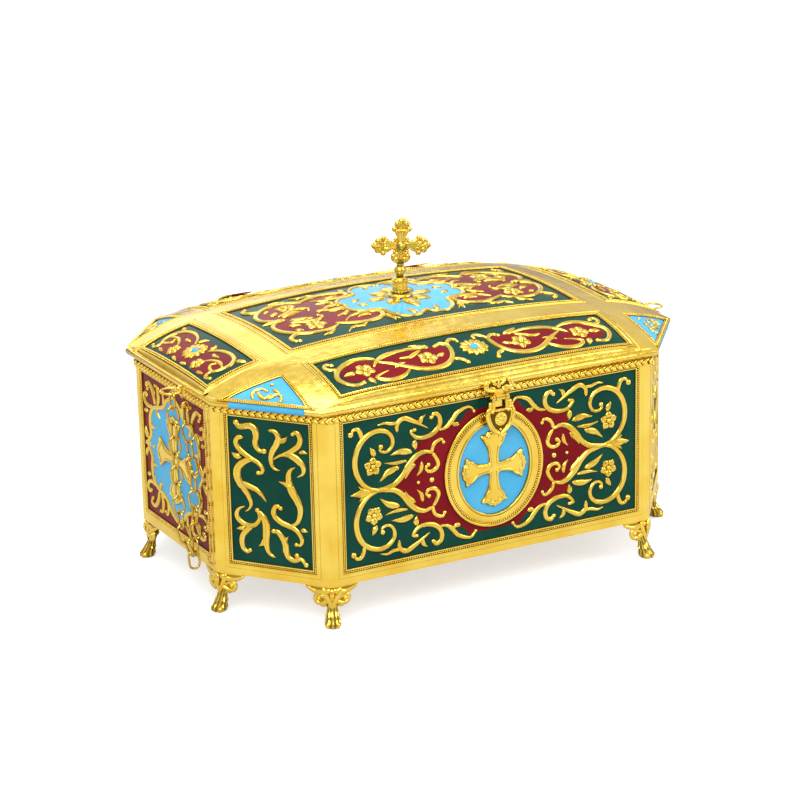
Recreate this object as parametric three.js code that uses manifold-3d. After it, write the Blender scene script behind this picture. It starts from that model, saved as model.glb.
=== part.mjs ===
// An enamelled brass reliquary casket: an eight-sided box on eight cast feet, with a pillow-shaped lid that
// is hinged at the back, a budded cross on top, a hasp in front and a stay chain at each end.
// Millimetres, +Z up. The origin is on the ground, under the middle of the box, and -Y is the front.
import * as THREE from "three";
import { mergeVertices } from "three/addons/utils/BufferGeometryUtils.js";
import Module from "manifold-3d";

const wasm = await Module();
wasm.setup();

// ---- Driving dimensions ----
const BODY_LENGTH = 300;
const BODY_DEPTH = 217;
const CHAMFER = { x: 44.5, y: 57 }; // how much each cut corner takes off the long and the short side
const LID_CHAMFER = { x: 42, y: 50 }; // the lid's corners stand out further
const WALL = 1.6;
const UNDERSIDE_Z = 24;
const SEAM_Z = 124.5; // top of the walls
const GAP = 0.3; // between pieces that touch

// ---- Panels of the walls ----
const PANEL_BOTTOM_Z = 33;
const PANEL_TOP_Z = 118.6;
const PANEL_MARGIN = { long: 9.8, chamfer: 11.3, end: 7.9 };
const PANEL_RECESS = 0.6;
const BORDER_WIDTH = 5;
const BORDER_PROUD = 0.4;
const PANEL_MIDDLE_Z = 75.8;
const MEDALLION = { outer: [32.5, 35.2], inner: [23.3, 27.5], sides: 24, proud: 1.1 };
const MEDALLION_CROSS = [21.8, 23.8, 3.4, 8]; // reach sideways and up, half waist, half width at the ends
const END_CROSS = [24.6, 27.4, 3.4, 8.4]; // the same four lengths
const CROSS_PROUD = 0.9;

// ---- Lid ----
const LID_BOTTOM_Z = SEAM_Z + GAP;
const ROLL_RADIUS = 2.35; // the half-round moulding along the lid's edge
const ROLL_OFFSET = 0.5; // its flat back stands this far outside the walls
const LID_SPRING_Z = LID_BOTTOM_Z + 2 * ROLL_RADIUS;
const LID_RISE = 23;
const LID_WALL = 1.7;
const FIELD_RECESS = 0.6;
const TOP_FIELD = { x: 94, y: 44.4 };
const SLOPE_FIELD = { x: 93.4, inner: 69, outer: 103 };
const END_FIELD = { y: 44, inner: 118, outer: 147 };
const CORNER_FIELD = { apex: [114, 70.3], end: [144.2, 65.5], side: [114.7, 100.6] };

// ---- Fittings ----
const PROUD = 7.4; // how far the hasp and the hinges stand out from the walls
const BRAID = { bottom: 119.9, top: 124.2, depth: 1.5 };
const FOOT = { wing: 17, top: UNDERSIDE_Z - GAP, sole: 3.4 };
const FINIAL = { base: 152.4, collar: 11.6, arm: 18.8, middle: 182.6, upper: 17.4, lower: 11.5, knop: 167.6 };
const FINIAL_TURN = { lean: 4, about: -14 }; // degrees: its lean to the right, and its turn about the collar
const HASP = { x: 1, half: 8.2, pin: 119.3, tip: 97.4, plateTop: 130.2, thick: 1.5 };
const HINGE = { x: 62, half: 9, barrel: 1.9, pin: 1.0, z: SEAM_Z + GAP / 2 };
const STAY = { ring: 5.9, wire: 0.7, eye: 2.6, eyeWire: 0.6 };
const LINK = { inner: 9.9, width: 7, wire: 0.7 };
const CHAIN_BOTTOM_Z = 21;
const RING_STRAND_LINKS = 11;
const WALL_STRAND_LINKS = 9;

const BRASS = { color: 0xf2c84b, metalness: 1, roughness: 0.22 };

// ---- Solids ----

/** A manifold-3d solid from a closed three.js geometry. */
function solid(geometry) {
  const bare = geometry.index ? geometry.toNonIndexed() : geometry.clone();
  for (const name of Object.keys(bare.attributes)) if (name !== "position") bare.deleteAttribute(name);
  const merged = mergeVertices(bare, 1e-4);
  const vertProperties = merged.attributes.position.array;
  const triVerts = new Uint32Array(merged.index.array);
  return new wasm.Manifold(new wasm.Mesh({ numProp: 3, vertProperties, triVerts }));
}

/** A three.js geometry from a manifold-3d solid. */
function geometryOf(made) {
  const mesh = made.getMesh();
  const corners = new Float32Array(mesh.numVert * 3);
  for (let i = 0; i < mesh.numVert; i++) {
    corners.set(mesh.vertProperties.subarray(i * mesh.numProp, i * mesh.numProp + 3), i * 3);
  }
  return new THREE.BufferGeometry()
    .setAttribute("position", new THREE.BufferAttribute(corners, 3))
    .setIndex(new THREE.BufferAttribute(mesh.triVerts, 1))
    .toNonIndexed();
}

const union = (pieces) => pieces.reduce((sum, piece) => sum.add(piece));

/** A closed solid through rings of equally many points, with a fan at each end. */
function loft(rings) {
  const count = rings[0].length;
  const middle = (ring) => ring.reduce((sum, p) => sum.add(p), new THREE.Vector3()).divideScalar(count);
  const points = [...rings.flat(), middle(rings[0]), middle(rings.at(-1))];
  const faces = [];
  for (let r = 0; r + 1 < rings.length; r++) {
    for (let i = 0; i < count; i++) {
      const [a, b] = [r * count + i, r * count + ((i + 1) % count)];
      faces.push(a, b, b + count, a, b + count, a + count);
    }
  }
  const last = (rings.length - 1) * count;
  for (let i = 0; i < count; i++) {
    const next = (i + 1) % count;
    faces.push(points.length - 2, next, i, points.length - 1, last + i, last + next);
  }
  const geometry = new THREE.BufferGeometry().setFromPoints(points);
  geometry.setIndex(faces);
  return solid(geometry);
}

/** A flat outline of [x, y] pairs as a three.js shape, with holes. */
function shapeOf(outline, holes = []) {
  const shape = new THREE.Shape(outline.map(([x, y]) => new THREE.Vector2(x, y)));
  shape.holes = holes.map((hole) => new THREE.Path(hole.map(([x, y]) => new THREE.Vector2(x, y))));
  return shape;
}

/** A flat outline given depth along +Z from the given height. */
function plate(outline, from, to, holes = []) {
  const depth = to - from;
  const geometry = new THREE.ExtrudeGeometry(shapeOf(outline, holes), { depth, bevelEnabled: false });
  return solid(geometry.translate(0, 0, from));
}

const ball = (radius, x, y, z, flat = 1) =>
  solid(new THREE.SphereGeometry(radius, 6, 4).scale(1, 1, flat).translate(x, y, z));

/** A round bar along X. */
const barX = (radius, x0, x1, y, z) =>
  solid(
    new THREE.CylinderGeometry(radius, radius, x1 - x0, 12)
      .rotateZ(Math.PI / 2)
      .translate((x0 + x1) / 2, y, z),
  );

const boxFromTo = ([x0, y0, z0], [x1, y1, z1]) =>
  solid(
    new THREE.BoxGeometry(x1 - x0, y1 - y0, z1 - z0)
      .translate((x0 + x1) / 2, (y0 + y1) / 2, (z0 + z1) / 2),
  );

const ellipse = (rx, ry, count) =>
  Array.from({ length: count }, (_, i) => {
    const angle = (2 * Math.PI * i) / count;
    return [rx * Math.cos(angle), ry * Math.sin(angle)];
  });

// ---- The eight-sided plan ----

const HALF_X = BODY_LENGTH / 2;
const HALF_Y = BODY_DEPTH / 2;

/** The slanted side's direction outwards and its distance from the middle. */
function slantedSide(chamfer) {
  const diagonal = Math.hypot(chamfer.x, chamfer.y);
  const [nx, ny] = [chamfer.y / diagonal, chamfer.x / diagonal];
  return { nx, ny, reach: nx * HALF_X + ny * (HALF_Y - chamfer.y) };
}

/** The plan's corners, anticlockwise from the front wall's right end, moved outwards by an offset. */
function octagon(offset = 0, chamfer = CHAMFER) {
  const x = HALF_X + offset;
  const y = HALF_Y + offset;
  const side = slantedSide(chamfer);
  const { nx, ny } = side;
  const reach = side.reach + offset;
  const cornerX = (reach - ny * y) / nx;
  const cornerY = (reach - nx * x) / ny;
  return [
    [cornerX, -y], [x, -cornerY], [x, cornerY], [cornerX, y],
    [-cornerX, y], [-x, cornerY], [-x, -cornerY], [-cornerX, -y],
  ];
}

/** Each wall's middle, its direction along the plan and its length. */
function walls() {
  const corners = octagon();
  return corners.map(([x0, y0], i) => {
    const [x1, y1] = corners[(i + 1) % corners.length];
    const along = new THREE.Vector3(x1 - x0, y1 - y0, 0);
    const length = along.length();
    along.normalize();
    const outward = new THREE.Vector3(along.y, -along.x, 0);
    const middle = new THREE.Vector3((x0 + x1) / 2, (y0 + y1) / 2, 0);
    return { middle, along, outward, length, kind: WALL_KINDS[i % 4] };
  });
}

/** Moves a solid made flat (x along the wall, y up, z out of it) onto its wall. */
function ontoWall(made, wall, height = 0) {
  const up = new THREE.Vector3(0, 0, 1);
  const matrix = new THREE.Matrix4().makeBasis(wall.along, up, wall.outward);
  matrix.setPosition(wall.middle.x, wall.middle.y, height);
  return made.transform(matrix.toArray());
}

const rectangle = (halfWidth, bottom, top) => [
  [-halfWidth, bottom], [halfWidth, bottom], [halfWidth, top], [-halfWidth, top],
];

// ---- Body ----

/** A cross with flared arms and pointed, three-lobed ends, in the plane of a wall. */
function flaredCross(armX, armY, waist, flare) {
  const arm = (reach) => [
    [waist, waist], [waist * 1.3, reach * 0.55], [flare, reach * 0.8], [flare * 0.8, reach * 0.93],
    [flare * 0.3, reach * 0.93], [0, reach],
  ];
  const quarter = (reach, turn) => {
    const half = arm(reach);
    const whole = [...half, ...half.slice(0, -1).reverse().map(([x, y]) => [-x, y])];
    const [cos, sin] = [Math.cos(turn), Math.sin(turn)];
    return whole.slice(0, -1).map(([x, y]) => [x * cos - y * sin, x * sin + y * cos]);
  };
  return [armY, armX, armY, armX].flatMap((reach, i) => quarter(reach, (i * Math.PI) / 2));
}

/** The raised carving on a long wall: an oval frame round a cross. */
function ovalMedallion() {
  const { outer, inner, sides, proud } = MEDALLION;
  const frame = plate(ellipse(...outer, sides), -1, proud, [ellipse(...inner, sides)]);
  return union([frame, plate(flaredCross(...MEDALLION_CROSS), -1, CROSS_PROUD)]);
}

function casketBody() {
  let body = plate(octagon(), UNDERSIDE_Z, SEAM_Z).subtract(
    plate(octagon(-WALL), UNDERSIDE_Z + WALL, SEAM_Z + 1),
  );
  for (const wall of walls()) {
    const half = wall.length / 2 - PANEL_MARGIN[wall.kind];
    const field = rectangle(half, PANEL_BOTTOM_Z, PANEL_TOP_Z);
    const border = plate(
      rectangle(half + BORDER_WIDTH, PANEL_BOTTOM_Z - BORDER_WIDTH, BRAID.bottom - GAP),
      -WALL / 2,
      BORDER_PROUD,
      [field],
    );
    body = body.add(ontoWall(border, wall)).subtract(ontoWall(plate(field, -PANEL_RECESS, 2), wall));
    if (wall.kind === "long") body = body.add(ontoWall(ovalMedallion(), wall, PANEL_MIDDLE_Z));
    if (wall.kind === "end") {
      const cross = plate(flaredCross(...END_CROSS), -1, CROSS_PROUD);
      body = body.add(ontoWall(cross, wall, PANEL_MIDDLE_Z));
    }
  }
  return body;
}

/** The strip of braid soldered round the top of the walls. */
const rimBraid = () =>
  plate(octagon(GAP + BRAID.depth), BRAID.bottom, BRAID.top, [octagon(GAP)]);

// ---- Lid ----

const superEllipse = (inward, reach, power) =>
  Math.pow(1 - Math.pow(1 - Math.min(Math.max(inward / reach, 0), 1), power), 1 / power);

/** The lid's height over its spring line at a place in the plan. */
function domeHeight(x, y) {
  const [rimX, rimY] = [HALF_X + ROLL_OFFSET, HALF_Y + ROLL_OFFSET];
  const { nx, ny, reach } = slantedSide(LID_CHAMFER);
  const slant = reach + ROLL_OFFSET - nx * Math.abs(x) - ny * Math.abs(y);
  return (
    LID_RISE *
    superEllipse(rimX - Math.abs(x), rimX, 2) *
    superEllipse(rimY - Math.abs(y), rimY, 1.8) *
    superEllipse(slant, 36, 2)
  );
}

const WALL_KINDS = ["chamfer", "end", "chamfer", "long"]; // in the order of the plan's sides
const SIDE_STEPS = { long: 6, chamfer: 2, end: 4 };

/** The eight-sided outline with its sides divided, as [x, y] pairs. */
function dividedOctagon(offset, chamfer = LID_CHAMFER) {
  const corners = octagon(offset, chamfer);
  return corners.flatMap(([x0, y0], i) => {
    const [x1, y1] = corners[(i + 1) % corners.length];
    const count = SIDE_STEPS[WALL_KINDS[i % 4]];
    const at = (share) => [x0 + (x1 - x0) * share, y0 + (y1 - y0) * share];
    return Array.from({ length: count }, (_, k) => at(k / count));
  });
}

const DOME_STEPS = [0.985, 0.95, 0.88, 0.78, 0.64, 0.46, 0.24]; // the rings' shares of the edge's plan
const HOLLOW_STEPS = [0.95, 0.78, 0.46];

/** The dome over a given edge, from its bottom ring to its crown, sunk by a depth. */
function domeRings(offset, drop, steps, chamfer = LID_CHAMFER) {
  const edge = dividedOctagon(offset, chamfer);
  const outer = dividedOctagon(ROLL_OFFSET);
  return steps.map((share) =>
    edge.map(
      ([x, y], i) =>
        new THREE.Vector3(
          x * share,
          y * share,
          LID_SPRING_Z + domeHeight(outer[i][0] * share, outer[i][1] * share) - drop,
        ),
    ),
  );
}

const flatRing = (offset, z, chamfer = LID_CHAMFER) =>
  dividedOctagon(offset, chamfer).map(([x, y]) => new THREE.Vector3(x, y, z));

/** The whole lid as if it were solid, with its half-round edge, its top sunk by a depth. */
function solidLid(drop) {
  const rolls = [-90, -45, 0, 45, 90].map((angle) => {
    const turn = THREE.MathUtils.degToRad(angle);
    return flatRing(
      ROLL_OFFSET + ROLL_RADIUS * Math.cos(turn),
      LID_BOTTOM_Z + ROLL_RADIUS * (1 + Math.sin(turn)),
    );
  });
  return loft([...rolls, ...domeRings(ROLL_OFFSET, drop, DOME_STEPS)]);
}

/** The enamel fields of the lid in plan: the top, the four slopes and the four corners. */
function lidFields() {
  const block = (x0, x1, y0, y1) => [[x0, y0], [x1, y0], [x1, y1], [x0, y1]];
  const fields = [block(-TOP_FIELD.x, TOP_FIELD.x, -TOP_FIELD.y, TOP_FIELD.y)];
  for (const side of [-1, 1]) {
    const [nearY, farY] = [side * SLOPE_FIELD.inner, side * SLOPE_FIELD.outer].sort((a, b) => a - b);
    fields.push(block(-SLOPE_FIELD.x, SLOPE_FIELD.x, nearY, farY));
    const [nearX, farX] = [side * END_FIELD.inner, side * END_FIELD.outer].sort((a, b) => a - b);
    fields.push(block(nearX, farX, -END_FIELD.y, END_FIELD.y));
    for (const end of [-1, 1]) {
      const corner = Object.values(CORNER_FIELD).map(([x, y]) => [x * end, y * side]);
      fields.push(end * side > 0 ? corner : corner.reverse());
    }
  }
  return fields;
}

function casketLid() {
  const prisms = union(lidFields().map((field) => plate(field, LID_SPRING_Z, LID_SPRING_Z + LID_RISE + 5)));
  const hollow = loft([
    flatRing(-LID_WALL - GAP, LID_BOTTOM_Z - 1, CHAMFER),
    flatRing(-LID_WALL - GAP, LID_SPRING_Z - LID_WALL, CHAMFER),
    ...domeRings(-LID_WALL - GAP, LID_WALL + FIELD_RECESS, HOLLOW_STEPS, CHAMFER),
  ]);
  return solidLid(0).subtract(prisms).add(solidLid(FIELD_RECESS)).subtract(hollow);
}

// ---- Feet ----

const FOOT_SET_IN = 2; // the legs' distance inwards from the corners

/** A ring of points round a foot's leg. */
function legRing(out, z, halfOut, halfWide) {
  const sides = 8;
  return Array.from({ length: sides }, (_, i) => {
    const angle = (2 * Math.PI * i) / sides;
    return new THREE.Vector3(out - FOOT_SET_IN + halfOut * Math.cos(angle), halfWide * Math.sin(angle), z);
  });
}

/** The S-shaped leg with its paw, pointing along +X. */
const footLeg = () =>
  loft([
    legRing(0.4, 0, 3.8, 3.6),
    legRing(0.6, 2.4, 5, 5),
    legRing(-0.8, 6.4, 3.7, 4.2),
    legRing(-2.4, 11, 2.8, 3.8),
    legRing(-3.8, 16.5, 3.6, 4.6),
    legRing(-4.6, FOOT.top, 5, 6.4),
  ]);

/** The side view of a foot's wing, from the corner outwards. */
const WING_OUTLINE = [
  [0, FOOT.top], [0, 12.5], [4.5, 14], [6.2, 12.6], [9, 12.2], [11.4, 14], [11.6, 17], [10.4, 18.6],
  [13, 20.4], [FOOT.wing, 22.2], [FOOT.wing, FOOT.top],
];

const WING_INSIDE = { near: 0.4, far: 3.4 }; // a wing's faces, this far inside the wall's line

/** One cast foot: a leg with a paw, and two leafy wings under the walls that meet at its corner. */
function castFoot(corner, before, after) {
  const place = new THREE.Vector3(corner[0], corner[1], 0);
  const arms = [before, after].map(([x, y]) => new THREE.Vector3(x, y, 0).sub(place).normalize());
  const outward = arms[0].clone().add(arms[1]).normalize().negate();
  const leg = footLeg().rotate([0, 0, THREE.MathUtils.radToDeg(Math.atan2(outward.y, outward.x))]);
  const wings = arms.map((arm) => {
    const up = new THREE.Vector3(0, 0, 1);
    const normal = up.clone().cross(arm);
    if (normal.dot(outward) < 0) normal.negate();
    const basis = new THREE.Matrix4().makeBasis(arm, up, normal);
    return plate(WING_OUTLINE, -WING_INSIDE.far, -WING_INSIDE.near).transform(basis.toArray());
  });
  return union([leg, ...wings]).translate([place.x, place.y, 0]);
}

// ---- Finial ----

/** The turned collar that the cross is screwed into. */
function finialCollar() {
  const profile = [
    [0, 0], [7.4, 0], [7.2, 1.2], [5.2, 2], [4.6, 2.4], [4.7, 8.2], [4.1, 9.4],
    [2.2, FINIAL.collar], [0, FINIAL.collar],
  ].map(([r, z]) => new THREE.Vector2(r, z));
  return solid(new THREE.LatheGeometry(profile, 16).rotateX(Math.PI / 2)).translate([0, 0, FINIAL.base]);
}

/** One arm of the cross, pointing up, with two side buds, a lobe and a tip. */
function crossArm(reach) {
  const side = [[1.5, 0], [2.2, reach * 0.5], [4.8, reach * 0.53], [4.8, reach * 0.66], [2.8, reach * 0.7]];
  const mirrored = side.map(([x, y]) => [-x, y]).reverse();
  const stem = plate([...side, [0, reach * 0.94], ...mirrored], -1.4, 1.4);
  const buds = [-1, 1].map((hand) => ball(2, hand * 4.9, reach * 0.6, 0));
  return union([stem, ...buds, ball(3, 0, reach * 0.76, 0, 0.8), ball(1.4, 0, reach - 1.4, 0)]);
}

/** The budded cross with its ball knop, standing on the collar. */
function finialCross() {
  const reaches = [FINIAL.upper, FINIAL.arm, FINIAL.lower, FINIAL.arm];
  const arms = reaches.map((reach, i) => crossArm(reach).rotate([0, 0, 90 * i]));
  const head = union([...arms, ball(3.4, 0, 0, 0, 0.9)]).rotate([90, 0, 0]);
  const standing = head.translate([0, 0, FINIAL.middle]);
  const knop = ball(3.4, 0, 0, FINIAL.knop);
  const base = FINIAL.base + FINIAL.collar + GAP;
  const top = FINIAL.middle - FINIAL.lower / 2;
  const neck = solid(new THREE.CylinderGeometry(1.7, 2.1, top - base, 10).rotateX(Math.PI / 2));
  const made = union([standing, knop, neck.translate([0, 0, (top + base) / 2])]);
  const leaning = made.translate([0, 0, -base]).rotate([0, FINIAL_TURN.lean, 0]);
  return leaning.rotate([0, 0, FINIAL_TURN.about]).translate([0, 0, base]);
}

// ---- Hasp ----

const HASP_PIN_RADIUS = 0.8;
const KNUCKLE_RADIUS = 1.8;
const HASP_PIN_Y = -(HALF_Y + PROUD - KNUCKLE_RADIUS);

/** The plate on the lid's front edge, whose middle knuckle turns on the pin. */
function haspPlate() {
  const back = -(HALF_Y + ROLL_OFFSET + ROLL_RADIUS + GAP);
  const outline = [
    [-3, HASP.pin], [3, HASP.pin], [3, 122.6], [HASP.half - 1, 123.2], [HASP.half, 126.5],
    [HASP.half - 2, HASP.plateTop], [3, 128.3], [0, HASP.plateTop - 0.6], [-3, 128.3],
    [-HASP.half + 2, HASP.plateTop], [-HASP.half, 126.5], [-HASP.half + 1, 123.2], [-3, 122.6],
  ];
  const sheet = plate(outline, 0, HASP.thick).rotate([90, 0, 0]).translate([0, back, 0]);
  const knuckle = barX(KNUCKLE_RADIUS, -2.9, 2.9, HASP_PIN_Y, HASP.pin);
  const bore = barX(HASP_PIN_RADIUS + GAP, -4, 4, HASP_PIN_Y, HASP.pin);
  return sheet.add(knuckle).subtract(bore).translate([HASP.x, 0, 0]);
}

/** The hanging leaf: two knuckles, a window and a shield with a round boss on it. */
function haspLeaf() {
  const shield = [
    [-5.6, HASP.pin], [-5.6, 112.4], [-HASP.half, 111.6], [-HASP.half + 1.4, 104.6], [-3.6, 99.6],
    [0, HASP.tip],
    [3.6, 99.6], [HASP.half - 1.4, 104.6], [HASP.half, 111.6], [5.6, 112.4], [5.6, HASP.pin],
  ];
  const window = rectangle(3.3, 112.6, HASP.pin + 3);
  const sheet = plate(shield, 0, HASP.thick).subtract(plate(window, -1, HASP.thick + 1));
  const flower = plate(ellipse(4, 4, 10), 0, HASP.thick + 0.5).translate([0, 106.8, 0]);
  const face = union([sheet, flower]).rotate([90, 0, 0]).translate([0, HASP_PIN_Y + HASP.thick / 2, 0]);
  const knuckles = [-1, 1].map((side) =>
    barX(KNUCKLE_RADIUS, side * 4.45 - 1.15, side * 4.45 + 1.15, HASP_PIN_Y, HASP.pin));
  const bore = barX(HASP_PIN_RADIUS + GAP, -8, 8, HASP_PIN_Y, HASP.pin);
  return union([face, ...knuckles]).subtract(bore).translate([HASP.x, 0, 0]);
}

const haspPin = () => barX(HASP_PIN_RADIUS, HASP.x - 6.2, HASP.x + 6.2, HASP_PIN_Y, HASP.pin);

/** The low lug on the wall that shows through the leaf's window. */
function haspLug() {
  const front = HASP_PIN_Y + HASP.thick / 2 + GAP + 0.2;
  return boxFromTo([HASP.x - 2.2, front, 113.4], [HASP.x + 2.2, -(HALF_Y + BORDER_PROUD + GAP), 117.2]);
}

// ---- Hinges ----

const HINGE_Y = HALF_Y + PROUD - HINGE.barrel;

/** A hinge strap's side view, laid over the lid's edge and its back slope, in [y, z] pairs. */
function strapOutline(x) {
  const heights = [94, 98, 102, 105.5].map((y) => [y, LID_SPRING_Z + domeHeight(x, y) + 1]);
  const over = [
    [HALF_Y + ROLL_OFFSET + 0.6, LID_SPRING_Z + 1],
    [HALF_Y + ROLL_OFFSET + ROLL_RADIUS + 0.6, LID_BOTTOM_Z + 3.4],
  ];
  const under = [...heights, ...over];
  const top = [
    ...heights.map(([y, z]) => [y, z + 0.9]),
    [HALF_Y + ROLL_OFFSET + 1.6, LID_SPRING_Z + 1.8],
    [HINGE_Y, LID_BOTTOM_Z + 3.4],
    [HINGE_Y, HINGE.z],
  ];
  return [...under, [HALF_Y + ROLL_OFFSET + ROLL_RADIUS + 0.6, HINGE.z], ...top.reverse()];
}

const knuckleCut = (x0, x1, y) => barX(HINGE.barrel + GAP, x0, x1, y, HINGE.z);

/** The half of a hinge that is soldered to the lid, with the middle knuckle. */
function hingeLidLeaf(x) {
  const outline = strapOutline(x);
  const strap = solid(
    new THREE.ExtrudeGeometry(shapeOf(outline), { depth: 2 * HINGE.half, bevelEnabled: false })
      .applyMatrix4(new THREE.Matrix4().makeBasis(
        new THREE.Vector3(0, 1, 0), new THREE.Vector3(0, 0, 1), new THREE.Vector3(1, 0, 0)))
      .translate(x - HINGE.half, 0, 0),
  );
  const third = HINGE.half / 3;
  const cuts = [[x - HINGE.half - 1, x - third], [x + third, x + HINGE.half + 1]].map(([a, b]) =>
    knuckleCut(a, b, HINGE_Y));
  const knuckle = barX(HINGE.barrel, x - third + GAP, x + third - GAP, HINGE_Y, HINGE.z);
  const made = cuts.reduce((left, cut) => left.subtract(cut), strap).add(knuckle);
  return made.subtract(barX(HINGE.pin + GAP, x - 20, x + 20, HINGE_Y, HINGE.z));
}

/** The half of a hinge that is soldered to the back wall, with the two outer knuckles. */
function hingeBodyLeaf(x) {
  const face = HALF_Y + GAP + BRAID.depth + GAP;
  const sheet = boxFromTo([x - HINGE.half, face, 108], [x + HINGE.half, face + 1, HINGE.z - 1.2]);
  const neck = boxFromTo([x - HINGE.half, face, HINGE.z - 2.2], [x + HINGE.half, HINGE_Y, HINGE.z - 1.2]);
  const third = HINGE.half / 3;
  const barrels = [-1, 1].map((side) => {
    const ends = [x + side * third, x + side * HINGE.half].sort((a, b) => a - b);
    const [near, far] = side > 0 ? [GAP, 0] : [0, GAP];
    return barX(HINGE.barrel, ends[0] + near, ends[1] - far, HINGE_Y, HINGE.z);
  });
  const made = union([sheet, neck, ...barrels]).subtract(knuckleCut(x - third, x + third, HINGE_Y));
  return made.subtract(barX(HINGE.pin + GAP, x - 20, x + 20, HINGE_Y, HINGE.z));
}

const hingePin = (x) => barX(HINGE.pin, x - HINGE.half, x + HINGE.half, HINGE_Y, HINGE.z);

// ---- Stay chains ----

const ROLL_X = HALF_X + ROLL_OFFSET + ROLL_RADIUS; // the lid's edge at the ends
const BRAID_X = HALF_X + GAP + BRAID.depth; // and the braid's face
const RING_EYE = { x: ROLL_X + GAP + STAY.eye, y: -26, z: 126.8, from: BRAID_X + GAP, shank: [121.2, 124.6] };
const WALL_EYE = {
  x: BRAID_X + GAP + STAY.eye, y: -29, z: 118, from: HALF_X - PANEL_RECESS + GAP, shank: [115.4, 116.6],
};

/** A small eye on its shank, standing out of an end in the vertical plane across it. */
function stayEye(side, eye) {
  const loop = solid(
    new THREE.TorusGeometry(STAY.eye - STAY.eyeWire, STAY.eyeWire, 5, 10)
      .rotateX(Math.PI / 2)
      .translate(side * eye.x, eye.y, eye.z),
  );
  const [near, far] = [side * eye.from, side * eye.x].sort((a, b) => a - b);
  const [bottom, top] = eye.shank;
  return loop.add(boxFromTo([near, eye.y - STAY.eyeWire, bottom], [far, eye.y + STAY.eyeWire, top]));
}

/** The level ring in the upper eye, which holds the chain. */
function stayRing(side) {
  const loop = solid(new THREE.TorusGeometry(STAY.ring, STAY.wire, 5, 16));
  return loop.translate([side * (RING_EYE.x + STAY.ring), RING_EYE.y, RING_EYE.z]);
}

/** One long link, standing upright in the XZ plane round the origin. */
function chainLink() {
  const bend = LINK.width / 2 - LINK.wire;
  const stretch = (LINK.inner + LINK.wire * 2) / 2 - bend;
  const geometry = new THREE.TorusGeometry(bend, LINK.wire, 4, 8);
  const corners = geometry.attributes.position;
  for (let i = 0; i < corners.count; i++) {
    const x = corners.getX(i);
    corners.setX(i, x + Math.sign(x) * stretch);
  }
  return solid(geometry.rotateZ(Math.PI / 2).rotateX(Math.PI / 2));
}

/** A link between two points of the chain, turned about its own length. */
function linkBetween(from, to, turn) {
  const along = to.clone().sub(from).normalize();
  const tilt = new THREE.Quaternion().setFromUnitVectors(new THREE.Vector3(0, 0, -1), along);
  const spin = new THREE.Quaternion().setFromAxisAngle(new THREE.Vector3(0, 0, 1), turn);
  const middle = from.clone().add(to).multiplyScalar(0.5);
  const matrix = new THREE.Matrix4().compose(middle, tilt.multiply(spin), new THREE.Vector3(1, 1, 1));
  return chainLink().transform(matrix.toArray());
}

/** One strand of links along a smooth line of points, whose last link lies in the YZ plane. */
function strand(points, count) {
  const line = new THREE.CatmullRomCurve3(points.map((p) => new THREE.Vector3(...p)), false, "centripetal");
  const holds = line.getSpacedPoints(count);
  return holds.slice(1).map((hold, i) => linkBetween(holds[i], hold, (count - 1 - i) % 2 ? 0 : Math.PI / 2));
}

/** All the links of the left stay chain, from the ring down to the lowest link and up to the eye. */
function stayChain() {
  const [x, y, z] = [-156.6, -36, CHAIN_BOTTOM_Z + LINK.inner + 2 * LINK.wire];
  const halfApart = LINK.wire + GAP;
  const ringLine = [[-163.6, -31.3, RING_EYE.z + 0.5], [-161.4, -33, 44], [x - halfApart, y, z - 1.6]];
  const wallLine = [
    [-WALL_EYE.x, WALL_EYE.y, WALL_EYE.z - 1.1], [-155.4, -37.5, 70], [x + halfApart, y, z - 1.6],
  ];
  const ringStrand = strand(ringLine, RING_STRAND_LINKS);
  const wallStrand = strand(wallLine, WALL_STRAND_LINKS);
  const lowest = linkBetween(new THREE.Vector3(x, y, z), new THREE.Vector3(x, y, z - LINK.inner + GAP), 0);
  return [...ringStrand, lowest, ...wallStrand.reverse()];
}

// ---- The casket ----

const casket = new THREE.Group();

/** Adds a named piece with its own material. */
function addPiece(name, made, finish = BRASS) {
  const mesh = new THREE.Mesh(geometryOf(made), new THREE.MeshStandardMaterial(finish));
  mesh.name = name;
  casket.add(mesh);
}

addPiece("casket_body", casketBody());
addPiece("rim_braid", rimBraid());
addPiece("lid", casketLid());
addPiece("finial_collar", finialCollar());
addPiece("finial_cross", finialCross());

const corners = octagon();
const FOOT_NAMES = [
  "front_right", "right_front", "right_back", "back_right",
  "back_left", "left_back", "left_front", "front_left",
];
corners.forEach((corner, i) => {
  const before = corners.at(i - 1);
  const after = corners[(i + 1) % corners.length];
  addPiece(`foot_${FOOT_NAMES[i]}`, castFoot(corner, before, after));
});

addPiece("hasp_plate", haspPlate());
addPiece("hasp_leaf", haspLeaf());
addPiece("hasp_pin", haspPin());
addPiece("hasp_lug", haspLug());

for (const [name, x] of [["left", -HINGE.x], ["right", HINGE.x]]) {
  addPiece(`hinge_lid_leaf_${name}`, hingeLidLeaf(x));
  addPiece(`hinge_body_leaf_${name}`, hingeBodyLeaf(x));
  addPiece(`hinge_pin_${name}`, hingePin(x));
}

for (const [name, side] of [["left", -1], ["right", 1]]) {
  addPiece(`stay_ring_${name}`, stayRing(side));
  addPiece(`stay_eye_upper_${name}`, stayEye(side, RING_EYE));
  addPiece(`stay_eye_lower_${name}`, stayEye(side, WALL_EYE));
}

stayChain().forEach((link, i) => addPiece(`chain_link_${String(i + 1).padStart(2, "0")}`, link));

export default casket;
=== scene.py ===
"""An enamelled brass reliquary casket: its looks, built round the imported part. Lengths are millimetres."""
import sys
import logging
import math
from dataclasses import dataclass, field
from enum import Enum

import bpy
import numpy as np
from bpy.types import Material, Mesh, Node, NodeSocket, NodeTree, Object
from mathutils import Matrix, Vector
from mathutils.geometry import delaunay_2d_cdt


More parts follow.
